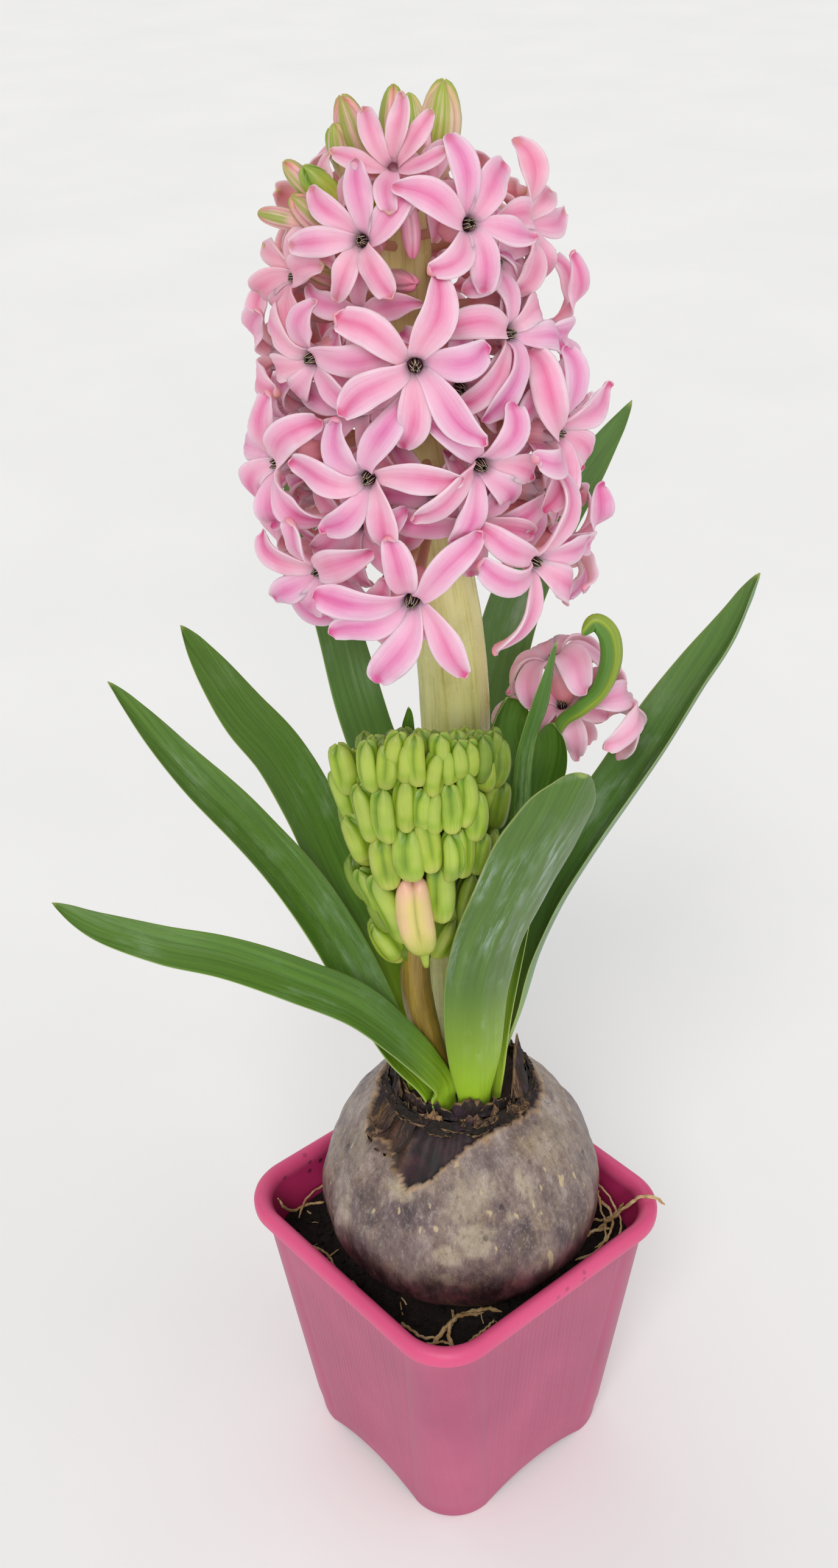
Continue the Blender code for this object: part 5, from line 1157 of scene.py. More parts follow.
# lower edge of the tear in the outer tunic: degrees round from the plant's right, height
TEAR = [(-180, 99.4), (-172, 98.6), (-166, 97.4), (-161, 96.4), (-152, 95.4), (-146, 96.0), (-142, 96.8), (-136, 96.7), (-131, 95.6), (-129, 93.8), (-125, 93.2), (-121, 91.9),
        (-118, 91.2), (-112, 92.4), (-106, 93.9), (-98, 96.6), (-89, 98.3), (-78, 99.5), (-64, 100.4), (-49, 100.6), (-25, 99.4), (0, 99.0), (30, 99.8), (60, 98.8), (90, 99.9),
        (120, 99.2), (150, 99.9), (180, 99.4)]
# pale and tan patches, and dark ones: degrees, height, half size across and up in mm, strength
PALE = [(-89, 89.4, 5.5, 4.0, 0.75), (-86, 83.6, 3.4, 4.5, 1.0), (-97, 79.8, 3.0, 2.0, 1.3), (-98, 74.0, 2.0, 1.3, 1.3), (-84, 92.0, 6.0, 3.0, 0.5), (-121, 90.2, 3.0, 1.6, 0.9),
        (-60, 92.0, 1.2, 3.4, 0.9), (-57, 89.0, 1.0, 3.0, 0.9), (-70, 86.5, 1.2, 1.6, 0.8), (-158, 92.5, 3.4, 3.0, 0.6), (-148, 80.0, 1.0, 6.0, 0.6), (-30, 94.0, 8.0, 4.0, 0.5),
        (40, 88, 6, 5, 0.6), (100, 80, 5, 7, 0.7), (150, 88, 5, 5, 0.6), (75, 74, 3, 3, 1.0)]
DARK = [(-138, 83.3, 5.0, 3.4, 0.8), (-118, 86.0, 5.0, 3.0, 1.0), (-110, 88.9, 3.0, 2.4, 0.7), (-119, 79.9, 6.0, 4.0, 0.6), (-67, 79.6, 4.5, 4.0, 0.7), (-74, 96.4, 5.0, 1.6, 0.6),
        (-100, 68.0, 9.0, 3.0, 0.6), (-140, 70.0, 8.0, 6.0, 0.6), (-40, 78.0, 5.0, 6.0, 0.5), (20, 84, 6, 5, 0.7), (70, 86, 5, 4, 0.6), (120, 90, 6, 4, 0.7), (160, 76, 6, 7, 0.6)]


def blobs(theta, z, R, spots, rag):
    total = np.zeros_like(theta)
    for a, h, sx, sz, amount in spots:
        dx = ((theta - radians(a) + pi) % (2 * pi) - pi) * R
        q = (dx / sx) ** 2 + ((z - h) / sz) ** 2
        total = np.maximum(total, amount * (1 - smoothstep(np.sqrt(q) + rag * 0.45, 0.55, 1.25)))
    return total


def bulb_material():
    m = Mat("tunic", 0.45, Specular_IOR_Level=0.5, Coat_Weight=0.12, Coat_Roughness=0.35)
    bare, edge, low, flap, pale, dark = (m.attr(k) for k in ("top", "aux", "age", "rnd", "m1", "m2"))
    big = m.noise(52, 5, 0.62)
    mid = m.noise(170, 5, 0.68, co=m.stretch(1, 1, 0.6))
    fine = m.noise(820, 5, 0.68, co=m.stretch(1, 1, 0.4))
    tiny = m.noise(2100, 3, 0.6, co=m.stretch(1, 1, 0.5))
    silver = m.ramp(m.math("ADD", m.math("MULTIPLY", big, 0.45), m.math("MULTIPLY", mid, 0.55)), (0.32, srgb(58, 40, 44)), (0.43, srgb(98, 77, 75)), (0.525, srgb(136, 117, 108)),
                    (0.62, srgb(168, 153, 146)), (0.73, srgb(190, 180, 175)), (0.86, srgb(140, 118, 112)))
    col = m.mix(m.math("MULTIPLY", m.step(m.noise(88, 4, 0.62), 0.48, 0.66), 0.62), silver, srgb(150, 126, 94))
    col = m.mix(m.math("MULTIPLY", m.step(m.noise(40, 3, 0.5), 0.54, 0.66), 0.35), col, srgb(112, 84, 72))
    col = m.mix(m.math("MULTIPLY", dark, 0.86), col, m.mix(m.step(mid, 0.35, 0.65), srgb(46, 32, 38), srgb(92, 70, 76)))
    col = m.mix(m.math("MULTIPLY", pale, m.value(mid, 0.35, 0.80)), col, srgb(188, 172, 144))
    # fine lengthwise fibres, tan flecks and dark pits
    col = m.mix(m.math("MULTIPLY", m.step(fine, 0.50, 0.70), 0.32), col, srgb(190, 180, 172))
    col = m.mix(m.math("MULTIPLY", m.step(fine, 0.48, 0.32), 0.52), col, srgb(70, 54, 62))
    col = m.mix(m.math("MULTIPLY", m.step(tiny, 0.56, 0.70), 0.30), col, srgb(92, 74, 72))
    col = m.mix(m.math("MULTIPLY", m.step(tiny, 0.44, 0.30), 0.22), col, srgb(206, 196, 188))
    fleck = m.noise(560, 2, 0.4, co=m.stretch(1, 1, 0.34))
    col = m.mix(m.math("MULTIPLY", m.step(fleck, 0.66, 0.74), 0.8), col, srgb(200, 178, 136))
    pits = m.voronoi(240, co=m.stretch(1, 1, 0.7))
    pit = m.math("MULTIPLY", m.step(pits, 0.20, 0.10), m.step(m.noise(120, 2), 0.50, 0.60))
    col = m.mix(m.math("MULTIPLY", pit, 0.85), col, srgb(36, 28, 32))
    red = m.mix(m.step(mid, 0.36, 0.66), srgb(30, 13, 17), srgb(82, 38, 44))
    # dark red towards the bottom of the bulb: partly the skin's own red, partly painted shade where the bulb curves
    # under into the soil
    col = m.mix(m.math("MULTIPLY", low, 0.93), col, red)
    inner = m.ramp(m.noise(240, 5, 0.66, co=m.stretch(1, 1, 0.25)), (0.30, srgb(13, 7, 9)), (0.46, srgb(30, 13, 18)), (0.60, srgb(54, 25, 33)), (0.72, srgb(76, 42, 50)), (0.84, srgb(84, 22, 36)))
    col = m.mix(bare, col, inner)
    brown = m.ramp(m.noise(330, 4, 0.6), (0.3, srgb(44, 28, 22)), (0.55, srgb(80, 52, 38)), (0.75, srgb(120, 84, 60)))
    col = m.mix(m.math("MULTIPLY", flap, 0.95), col, brown)
    col = m.mix(m.math("MULTIPLY", edge, m.value(m.noise(420, 3), 0.1, 0.95)), col, srgb(186, 146, 98))
    h = m.math("ADD", m.math("MULTIPLY", fine, 0.6), m.math("MULTIPLY", mid, 0.4))
    bump = m.bump(h, 0.55, 0.0008, m.bump(m.noise(2600, 3, 0.6), 0.3, 0.0002))
    rough = m.math("ADD", m.value(mid, 0.30, 0.58), m.math("MULTIPLY", bare, 0.32))
    return m.done(col, rough, bump)


def build_bulb():
    K, n = 250, 160
    th = -pi + np.arange(K) * 2 * pi / K
    prof = catmull(BULB_PROFILE, np.linspace(0, 1, 600))
    prof, _ = resample(prof, n)
    R, z = np.repeat(prof[:, 0:1], K, 1), np.repeat(prof[:, 1:2], K, 1)
    TH = np.repeat(th[None], n, 0)
    X, Y = R * np.cos(TH), R * np.sin(TH)
    P = np.stack([X, Y, z], -1)
    rag = vnoise(P, 3.0, 3)
    tear = np.interp(np.degrees(TH), *zip(*TEAR)) + 0.35 * rag + 0.5 * vnoise(P, 1.2, 2)
    slope = smoothstep(R, 3, 12)
    bare = smoothstep(z, tear - 0.12, tear + 0.12) * slope
    edge = np.exp(-(((z - tear + 0.35) / 0.34) ** 2)) * (1 - bare) * slope
    inside = 0.55 * smoothstep(z, tear + 2.2, tear + 5)
    # lumps, broad flats between the scales, and creases from neck to base
    swell = 0.55 * vnoise(P, 17, 2) + 0.22 * vnoise(P * [1, 1, 0.4], 5, 3)
    ridges = 0.10 * np.sin(TH * 46 + 3.0 * vnoise(P, 14, 2)) * smoothstep(z, 60, 80)
    crease = 0
    for a, width, deep in ((-150, 0.045, 0.75), (-144, 0.05, -0.55), (-62, 0.03, 0.25), (15, 0.05, 0.6), (24, 0.04, -0.4), (84, 0.05, 0.5), (140, 0.04, -0.5)):
        lane = radians(a) + 0.10 * np.sin(z / 7.0 + a) * 0.5
        crease = crease + deep * np.exp(-((((TH - lane + pi) % (2 * pi) - pi) / width) ** 2)) * smoothstep(z, 62, 74) * (1 - smoothstep(z, 92, 97))
    grow = swell + ridges + crease + 0.42 * (1 - bare) * smoothstep(z, 84, 95) + 0.22 * edge - 0.25 * bare
    # the brown flap left of the tear, a torn tongue of an older skin
    flap = blobs(TH, z, 20.0, [(-152, 98.2, 5.4, 2.6, 1.3), (-136, 97.0, 4.2, 3.2, 1.3), (-126, 94.6, 1.6, 2.6, 1.0)], rag)
    flap = np.clip(flap, 0, 1) * slope
    grow += 0.5 * flap
    nx, nz = np.gradient(prof[:, 1]), -np.gradient(prof[:, 0])
    ln = np.hypot(nx, nz)
    nr, nz = -(nx / ln), -(nz / ln)
    X2 = (R + nr[:, None] * grow * slope) * np.cos(TH) + BULB_X
    Y2 = (R + nr[:, None] * grow * slope) * np.sin(TH)
    Z2 = z + nz[:, None] * grow * slope
    # the stem plate end sinks a little so that the leaves seem to leave from inside the neck
    Z2 -= 2.2 * (1 - smoothstep(R, 8, 12.5)) * (z > 90)
    pale = np.clip(blobs(TH, z, R.clip(8), PALE, rag), 0, 1)
    dark = np.clip(blobs(TH, z, R.clip(8), [(a, h, 1.3 * sx, 1.25 * sz, q) for a, h, sx, sz, q in DARK], rag), 0, 1)
    # the darker bottom band, partly painted shade
    low = 1 - smoothstep(z + 3.6 * vnoise(P, 9, 3), 68.0, 80.5)
    piece = Piece()
    piece.loft(np.stack([X2, Y2, Z2], -1), 0, top=bare, aux=np.clip(edge, 0, 1), age=low, rnd=flap, m1=pale, m2=dark)
    return piece.object("bulb_tunic", [TUNIC], "bulb", "bulb_tunic")


TUNIC = bulb_material()
build_bulb()


# ---- dry scales round the neck --------------------------------------------------------------------------------------------
def scale_material():
    m = Mat("dry_scale", 0.75)
    t, rnd, u = m.attr("t"), m.attr("rnd"), m.attr("u")
    fibre = m.noise(1.0, 5, 0.7, co=m.along(m.math("MULTIPLY", u, 6.0), m.math("MULTIPLY", t, 2.2), m.math("MULTIPLY", rnd, 40.0)))
    col = m.ramp(m.math("ADD", fibre, m.math("MULTIPLY_ADD", rnd, 0.34, -0.20)), (0.30, srgb(28, 22, 20)), (0.46, srgb(54, 38, 32)), (0.60, srgb(104, 76, 54)), (0.74, srgb(176, 138, 94)))
    # paler tan at each scale's torn end: partly the dry edge's own tone, partly painted highlight
    col = m.mix(m.math("MULTIPLY", m.step(t, 0.9, 1.0), 0.5), col, srgb(190, 150, 104))
    col = m.mix(m.math("MULTIPLY", m.step(m.noise(240, 3), 0.56, 0.66), 0.6), col, srgb(70, 44, 62))
    return m.done(col, m.value(fibre, 0.55, 0.9), m.bump(fibre, 0.8, 0.0009, m.bump(m.noise(2200, 3), 0.3, 0.0003)))


DRY = scale_material()


def scale(piece, a0, width, z0, z1, r0, r1, rng, tone, taper=0.35, thick=0.45, jag=1.0):
    """One dry scale hugging the neck at angle a0, from height z0 to z1 and radius r0 to r1, torn along its top."""
    nw, nt = 11, 9
    u = np.linspace(-1, 1, nw)
    t = np.linspace(0, 1, nt)
    top = 1 - (taper * np.abs(u) ** 1.3 + jag * 0.16 * (wave_noise(u * 1.7 + 3, int(rng.integers(1e6)), 3) + 0.6 * rng.uniform(-1, 1, nw)))
    seed = int(rng.integers(1e6))
    outer, inner_ = [], []
    for i, tt in enumerate(t):
        h = z0 + (z1 - z0) * tt * np.clip(top, 0.25, 1.25)
        rr = r0 + (r1 - r0) * tt + 0.35 * wave_noise(u * 1.1 + tt * 1.4, seed, 2)
        half = width / 2 / r0 * (1 - 0.25 * tt)
        ang = a0 + u * half + 0.05 * wave_noise(np.full(nw, tt), seed + 3, 2)
        th = thick / 2 * (1 - 0.6 * tt) * (0.35 + 0.65 * np.sqrt(np.maximum(0, 1 - u**2)))
        outer.append(np.stack([BULB_X + (rr + th) * np.cos(ang), (rr + th) * np.sin(ang), h], 1))
        inner_.append(np.stack([BULB_X + (rr - th) * np.cos(ang), (rr - th) * np.sin(ang), h], 1))
    loops = np.concatenate([np.array(outer), np.array(inner_)[:, ::-1]], 1)
    U = np.concatenate([u, u[::-1]])
    piece.loft(loops, 0, u=np.broadcast_to(U[None], loops.shape[:2]), t=np.repeat(t[:, None], 2 * nw, 1), rnd=tone)


def neck():
    rng = seeded(501)
    piece = Piece()
    # inner ring hugging the leaves, then an outer ragged one
    for k in range(13):
        a = 2 * pi * k / 13 + rng.uniform(-0.12, 0.12)
        scale(piece, a, rng.uniform(7.5, 10.5), NECK_TOP - 2.4, NECK_TOP + rng.uniform(1.6, 4.4), 12.9, 12.6 + rng.uniform(-0.5, 0.8), rng, rng.uniform(0.0, 0.45), jag=1.3)
    for k in range(12):
        a = 2 * pi * (k + 0.5) / 12 + rng.uniform(-0.2, 0.2)
        scale(piece, a, rng.uniform(6.0, 9.0), NECK_TOP - 3.4, NECK_TOP + rng.uniform(-0.6, 2.4), 14.6, 14.0 + rng.uniform(-0.6, 1.2), rng, rng.uniform(0.1, 0.9), jag=1.6)
    # short tan shreds lying on the shoulder
    for k in range(26):
        a = rng.uniform(-pi, pi)
        scale(piece, a, rng.uniform(1.2, 3.0), NECK_TOP - 3.2, NECK_TOP + rng.uniform(-1.6, 1.2), 15.2 + rng.uniform(-0.3, 0.6), 14.6 + rng.uniform(-0.5, 1.4), rng, rng.uniform(0.55, 1.0), taper=0.6, thick=0.3, jag=1.8)
    # a skirt of torn skins hanging over the shoulder, longest at the front
    for k in range(26):
        a = -pi + 2 * pi * (k + rng.uniform(-0.45, 0.45)) / 26
        front = max(0.0, cos(a - radians(-82))) ** 2
        reach = 0.5 + rng.uniform(0.0, 1.0) + rng.uniform(0.3, 1.9) * front
        scale(piece, a, rng.uniform(3.4, 8.2), 102.9, 102.9 - 0.86 * reach, 14.5 + rng.uniform(-0.3, 0.5), 14.7 + 0.98 * reach + rng.uniform(0.0, 0.5), rng,
              rng.choice([0.02, 0.06, 0.12, 0.2, 0.8]), taper=rng.uniform(0.2, 0.7), thick=0.36, jag=1.3)
    # a brown flap over the left half of the tear
    scale(piece, radians(-141), 9.0, 102.7, 94.0, 14.5, 22.0, rng, 0.46, taper=0.22, thick=0.4, jag=0.6)
    scale(piece, radians(-150), 5.0, 102.7, 96.4, 14.7, 20.4, rng, 0.70, taper=0.5, thick=0.4, jag=1.0)
    # two tall pointed remains, at the right and at the left
    for a, width, z0, z1, r0, r1, tone in ((radians(-21), 7.5, 98.6, 118.0, 15.6, 12.6, 0.30), (radians(-14), 4.6, 99.0, 115.5, 14.8, 12.6, 0.02), (radians(-30), 4.0, 99.4, 110.0, 15.4, 13.0, 0.75),
                                           (radians(-163), 4.0, 98.8, 112.8, 14.8, 13.2, 0.05), (radians(-156), 3.6, 98.4, 108.4, 15.0, 13.6, 0.5), (radians(-132), 5.4, 97.4, 104.0, 15.6, 14.2, 0.12),
                                           (radians(-112), 4.6, 98.8, 104.2, 15.2, 13.8, 0.8), (radians(-60), 5.0, 99.2, 105.0, 15.2, 13.8, 0.85)):
        scale(piece, a, width, z0, z1, r0, r1, rng, tone, taper=0.85, thick=0.6, jag=0.7)
    return piece.object("neck_dry_scales", [DRY], "neck_scales", "dry_scales")


neck()


# ---- pot -----------------------------------------------------------------------------------------------------------------
def pot_material():
    m = Mat("pink_plastic", 0.40, Subsurface_Weight=0.06, Subsurface_Scale=0.002, Specular_IOR_Level=0.45)
    rim, run, inside = m.attr("top"), m.attr("u"), m.attr("age")
    # drawn lines in the moulded wall, cloudy tone and fine speckle
    lines = m.noise(1.0, 3, 0.6, co=m.along(m.math("MULTIPLY", run, 0.9), m.math("MULTIPLY", m.attr("t"), 0.012), 3.0))
    cloud = m.noise(34, 3, 0.5)
    grit = m.noise(3400, 2, 0.6)
    wall = m.ramp(m.math("ADD", m.math("MULTIPLY", lines, 0.16), m.math("MULTIPLY", cloud, 0.84)), (0.32, srgb(168, 77, 112)), (0.5, srgb(178, 84, 119)), (0.68, srgb(189, 94, 128)))
    lip = m.ramp(cloud, (0.3, srgb(212, 74, 122)), (0.7, srgb(224, 86, 134)))
    col = m.mix(rim, wall, lip)
    col = m.mix(inside, col, srgb(194, 48, 104))
    col = m.hsv(col, 0.5, 1.0, m.value(grit, 0.93, 1.07))
    spots = m.voronoi(62)
    spot = m.math("MULTIPLY", m.step(spots, 0.055, 0.025), m.step(m.noise(26, 2), 0.50, 0.56))
    col = m.mix(m.math("MULTIPLY", spot, 0.75), col, srgb(110, 44, 76))
    soil = m.math("MULTIPLY", m.math("MULTIPLY", m.step(m.voronoi(300), 0.22, 0.12), m.step(m.noise(40, 3), 0.52, 0.62)), m.math("ADD", m.math("MULTIPLY", inside, 0.9), m.math("MULTIPLY", rim, 0.35)))
    col = m.mix(soil, col, srgb(58, 38, 36))
    bump = m.bump(lines, 0.10, 0.0004, m.bump(grit, 0.12, 0.0001))
    return m.done(col, m.value(cloud, 0.34, 0.50), bump)


PINK = pot_material()


def wall_half(z):
    return POT_FOOT_HALF + (POT_TOP_HALF - POT_FOOT_HALF) * z / (POT_HEIGHT - POT_LIP)


def square_ring(half, corner, z, side_steps=146, corner_steps=26):
    """Points of a rounded square, evenly many on each side and corner; also the distance along each side from its middle."""
    corner = min(corner, half - 0.01)
    pts, along, arc = [], [], []
    for q in range(4):
        c, s = cos(q * pi / 2), sin(q * pi / 2)
        flat = half - corner
        for v in np.linspace(-flat, flat, side_steps, endpoint=False):
            pts.append((half * c - v * s, half * s + v * c))
            along.append(v)
            arc.append(0.0)
        for k in range(corner_steps):
            a = k / corner_steps * pi / 2
            x, y = flat + corner * cos(a), flat + corner * sin(a)
            pts.append((x * c - y * s, x * s + y * c))
            along.append(flat + corner * a)
            arc.append(sin(2 * a))
    xy = np.array(pts)
    return np.concatenate([xy, np.full((len(xy), 1), float(z))], 1), np.array(along), np.array(arc)


arch_radius = ARCH_WIDTH**2 / (8 * ARCH_HEIGHT) + ARCH_HEIGHT / 2


def build_pot():
    lip_low = POT_HEIGHT - POT_LIP
    R, H = POT_CORNER_R, POT_HEIGHT
    rows = []  # half, corner, z, kind: 0 wall outside, 1 lip, 2 inside, 3 underside

    def add(points, kind):
        for half, corner, z in points:
            rows.append((half, corner, z, kind))

    add([(wall_half(POT_FLOOR_LOW) - POT_WALL - 0.5, R - 1.5, POT_FLOOR_LOW + 0.2), (wall_half(POT_FLOOR_LOW) - POT_WALL, R - 1.1, POT_FLOOR_LOW),
         (wall_half(1.2) - POT_WALL, R - 1.1, 1.2), (wall_half(0) - POT_WALL + 0.02, R - 1.1, 0.25), (wall_half(0) - POT_WALL + 0.25, R - 0.9, 0.03),
         (wall_half(0) - 0.6, R - 0.5, 0.0), (wall_half(0) - 0.25, R - 0.3, 0.05)], 3)
    add([(wall_half(0.35) - 0.06, R - 0.1, 0.35)] + [(wall_half(z), R, z) for z in np.concatenate([[0.8, 1.6, 2.6, 3.8, 5.2], np.linspace(7.5, lip_low - 0.4, 13)])], 0)
    # rolled lip
    add([(wall_half(lip_low) + 0.08, R, lip_low), (wall_half(lip_low) + 0.5, R + 0.2, lip_low + 0.12), (POT_RIM_HALF - 0.9, R + 0.8, lip_low + 0.35), (POT_RIM_HALF - 0.35, R + 1.0, lip_low + 0.75),
         (POT_RIM_HALF - 0.08, R + 1.1, lip_low + 1.3), (POT_RIM_HALF, R + 1.1, lip_low + 2.0), (POT_RIM_HALF, R + 1.1, lip_low + 3.0), (POT_RIM_HALF - 0.15, R + 1.0, H - 1.0),
         (POT_RIM_HALF - 0.5, R + 0.8, H - 0.45), (POT_RIM_HALF - 0.95, R + 0.5, H - 0.12), (POT_RIM_HALF - 1.4, R + 0.2, H), (POT_RIM_HALF - 2.0, R - 0.2, H - 0.06),
         (POT_RIM_HALF - 2.6, R - 0.7, H - 0.35), (POT_RIM_HALF - 3.1, R - 1.0, H - 0.95), (wall_half(lip_low) - POT_WALL + 0.1, R - 1.1, H - 1.8)], 1)
    add([(wall_half(z) - POT_WALL, R - 1.1, z) for z in (lip_low + 1.2, lip_low, 61, 58, 55, 50, 40, 28, 16, 8, POT_FLOOR_TOP + 0.9)], 2)
    add([(wall_half(POT_FLOOR_TOP) - POT_WALL - 0.5, R - 1.5, POT_FLOOR_TOP + 0.1), (wall_half(POT_FLOOR_TOP) - POT_WALL - 0.9, R - 1.6, POT_FLOOR_TOP - 0.3)], 2)
    loops, U, T, RIM, IN = [], [], [], [], []
    for half, corner, z, kind in rows:
        ring, along, arc = square_ring(half, corner, z)
        radial = ring[:, :2] / np.linalg.norm(ring[:, :2], axis=1)[:, None]
        if kind == 0:
            flat = half - corner
            mid = 1 - smoothstep(np.abs(along), flat - 3.2, flat - 1.4)
            fade = smoothstep(z, 3.5, 8) * (1 - smoothstep(z, 61.5, 63.2))
            rib = 0.085 * np.cos(2 * pi * along / 1.3) + 0.03 * np.cos(2 * pi * along / 3.9 + 1)
            crease = -0.20 * np.exp(-(((np.abs(along) - flat + 1.4) / 0.6) ** 2)) + 0.22 * smoothstep(np.abs(along), flat - 1.2, flat + 0.6) + 0.10 * arc
            ring[:, :2] += radial * ((rib * mid + crease) * fade)[:, None]
        if z < 14 and kind in (0, 2, 3):
            for axis in (0, 1):
                on = np.abs(ring[:, 1 - axis]) > half - 1.5
                s = ring[:, axis]
                lift = np.sqrt(np.maximum(0, arch_radius**2 - s**2)) + (ARCH_HEIGHT - arch_radius)
                lift = np.maximum(0, lift) * on
                # the foot's edge follows a soft arch; rows above it are crowded less and less
                if kind == 0 or kind == 3:
                    ring[:, 2] = np.maximum(ring[:, 2], 0) + lift * (1 - smoothstep(z, 0, 9)) if z < 9 else ring[:, 2]
        loops.append(ring)
        U.append(along + 0)
        T.append(np.full(len(ring), z))
        RIM.append(np.full(len(ring), 1.0 if kind == 1 else 0.0))
        IN.append(np.full(len(ring), 1.0 if kind == 2 else 0.0))
    piece = Piece()
    loops = np.array(loops)
    n, K, _ = loops.shape
    # one closed skin: the last row meets the first inside the base plate
    a = (np.arange(n)[:, None] * K + np.arange(K)[None, :])
    b = (np.arange(n)[:, None] * K + (np.arange(K)[None, :] + 1) % K)
    nxt = (np.arange(n) + 1) % n
    quads = np.stack([a, b, nxt[:, None] * K + (np.arange(K)[None, :] + 1) % K, nxt[:, None] * K + np.arange(K)[None, :]], -1).reshape(-1, 4)
    piece.add(loops.reshape(-1, 3), [quads], 0, u=np.array(U).reshape(-1), t=np.array(T).reshape(-1), top=np.array(RIM).reshape(-1), age=np.array(IN).reshape(-1))
    pot = piece.object("pot_wall", [PINK], "pot", "pot_plastic", turn=False)
    # base plate with its four drain holes and middle pad
    plate = Piece()
    prows = [(0.6, 0.59, 0.0), (POT_PAD_R - 0.6, POT_PAD_R - 0.61, 0.0), (POT_PAD_R, POT_PAD_R - 0.01, 0.25), (POT_PAD_R + 0.5, POT_PAD_R + 0.49, POT_FLOOR_LOW)]
    outer_half = wall_half(POT_FLOOR_LOW) - POT_WALL - 0.1
    prows += [(q, min(q - 0.01, 8 + q * 0.08), POT_FLOOR_LOW) for q in (10, 14, 18, 21.5)] + [(outer_half, R - 1.6, POT_FLOOR_LOW), (outer_half, R - 1.6, POT_FLOOR_TOP)]
    prows += [(q, min(q - 0.01, 8 + q * 0.08), POT_FLOOR_TOP) for q in (21.5, 18, 14, 10, 5, 0.6)]
    rings = np.array([square_ring(h, c, z, 12, 8)[0] for h, c, z in prows])
    plate.loft(rings, 0, u=0.5, t=3.0, age=0.4)
    base = plate.object("pot_base_plate", [PINK], None, "pot_plastic", turn=False, sharp=40)
    holes = bpy.data.meshes.new("drain_cutter")
    import bmesh
    bm = bmesh.new()
    for sx in (-1, 1):
        for sy in (-1, 1):
            bmesh.ops.create_cone(bm, cap_ends=True, segments=32, radius1=DRAIN_R * MM, radius2=DRAIN_R * MM, depth=5 * MM,
                                  matrix=Matrix.Translation((sx * DRAIN_AT * MM, sy * DRAIN_AT * MM, 3.2 * MM)))
    bm.to_mesh(holes)
    bm.free()
    cutter = bpy.data.objects.new("drain_cutter", holes)
    scene.collection.objects.link(cutter)
    mod = base.modifiers.new("drains", "BOOLEAN")
    mod.operation, mod.solver, mod.object = "DIFFERENCE", "EXACT", cutter
    bpy.context.view_layer.update()
    done = bpy.data.meshes.new_from_object(base.evaluated_get(bpy.context.evaluated_depsgraph_get()))
    base.modifiers.clear()
    base.data = done
    bpy.data.objects.remove(cutter)


build_pot()


# ---- potting mix ------------------------------------------------------------------------------------------------------------
def mix_material():
    m = Mat("peat", 0.92, Specular_IOR_Level=0.3)
    a, b = m.noise(420, 6, 0.7), m.noise(1500, 4, 0.7)
    col = m.ramp(m.math("ADD", m.math("MULTIPLY", a, 0.6), m.math("MULTIPLY", b, 0.4)), (0.30, srgb(16, 13, 12)), (0.50, srgb(34, 28, 25)), (0.66, srgb(62, 48, 40)), (0.80, srgb(104, 84, 66)))
    h = m.math("ADD", m.math("MULTIPLY", a, 0.7), m.math("MULTIPLY", b, 0.5))
    return m.done(col, m.value(b, 0.7, 1.0), m.bump(h, 0.9, 0.0012))


PEAT = mix_material()


def root_material():
    m = Mat("root_skin", 0.6, Subsurface_Weight=0.1, Subsurface_Scale=0.0008)
    t = m.attr("t")
    f = m.noise(1.0, 4, 0.7, co=m.along(m.math("MULTIPLY", m.attr("u"), 3.0), m.math("MULTIPLY", t, 0.5), m.attr("rnd")))
    col = m.ramp(m.math("ADD", m.math("MULTIPLY", f, 0.7), m.math("MULTIPLY", m.noise(300, 3), 0.35)), (0.32, srgb(122, 90, 52)), (0.48, srgb(186, 148, 96)), (0.62, srgb(226, 200, 152)), (0.78, srgb(242, 226, 190)))
    return m.done(col, m.value(f, 0.45, 0.75), m.bump(f, 0.5, 0.0004))


ROOT_MAT = root_material()


def soil_height(x, y):
    P = np.stack([x, y, np.zeros_like(x)], -1)
    bx, by = BULB_X * cos(PLANT_TURN), BULB_X * sin(PLANT_TURN)
    heap = 2.0 * np.exp(-((np.maximum(0, np.hypot(x - bx, y - by) - 20.0) / 5.0) ** 2))
    return SOIL_TOP + heap + 0.9 * vnoise(P, 9, 3, offset=3.1) + 0.55 * vnoise(P, 2.2, 3, offset=8.8) + 0.25 * vnoise(P, 0.9, 2, offset=1.3)


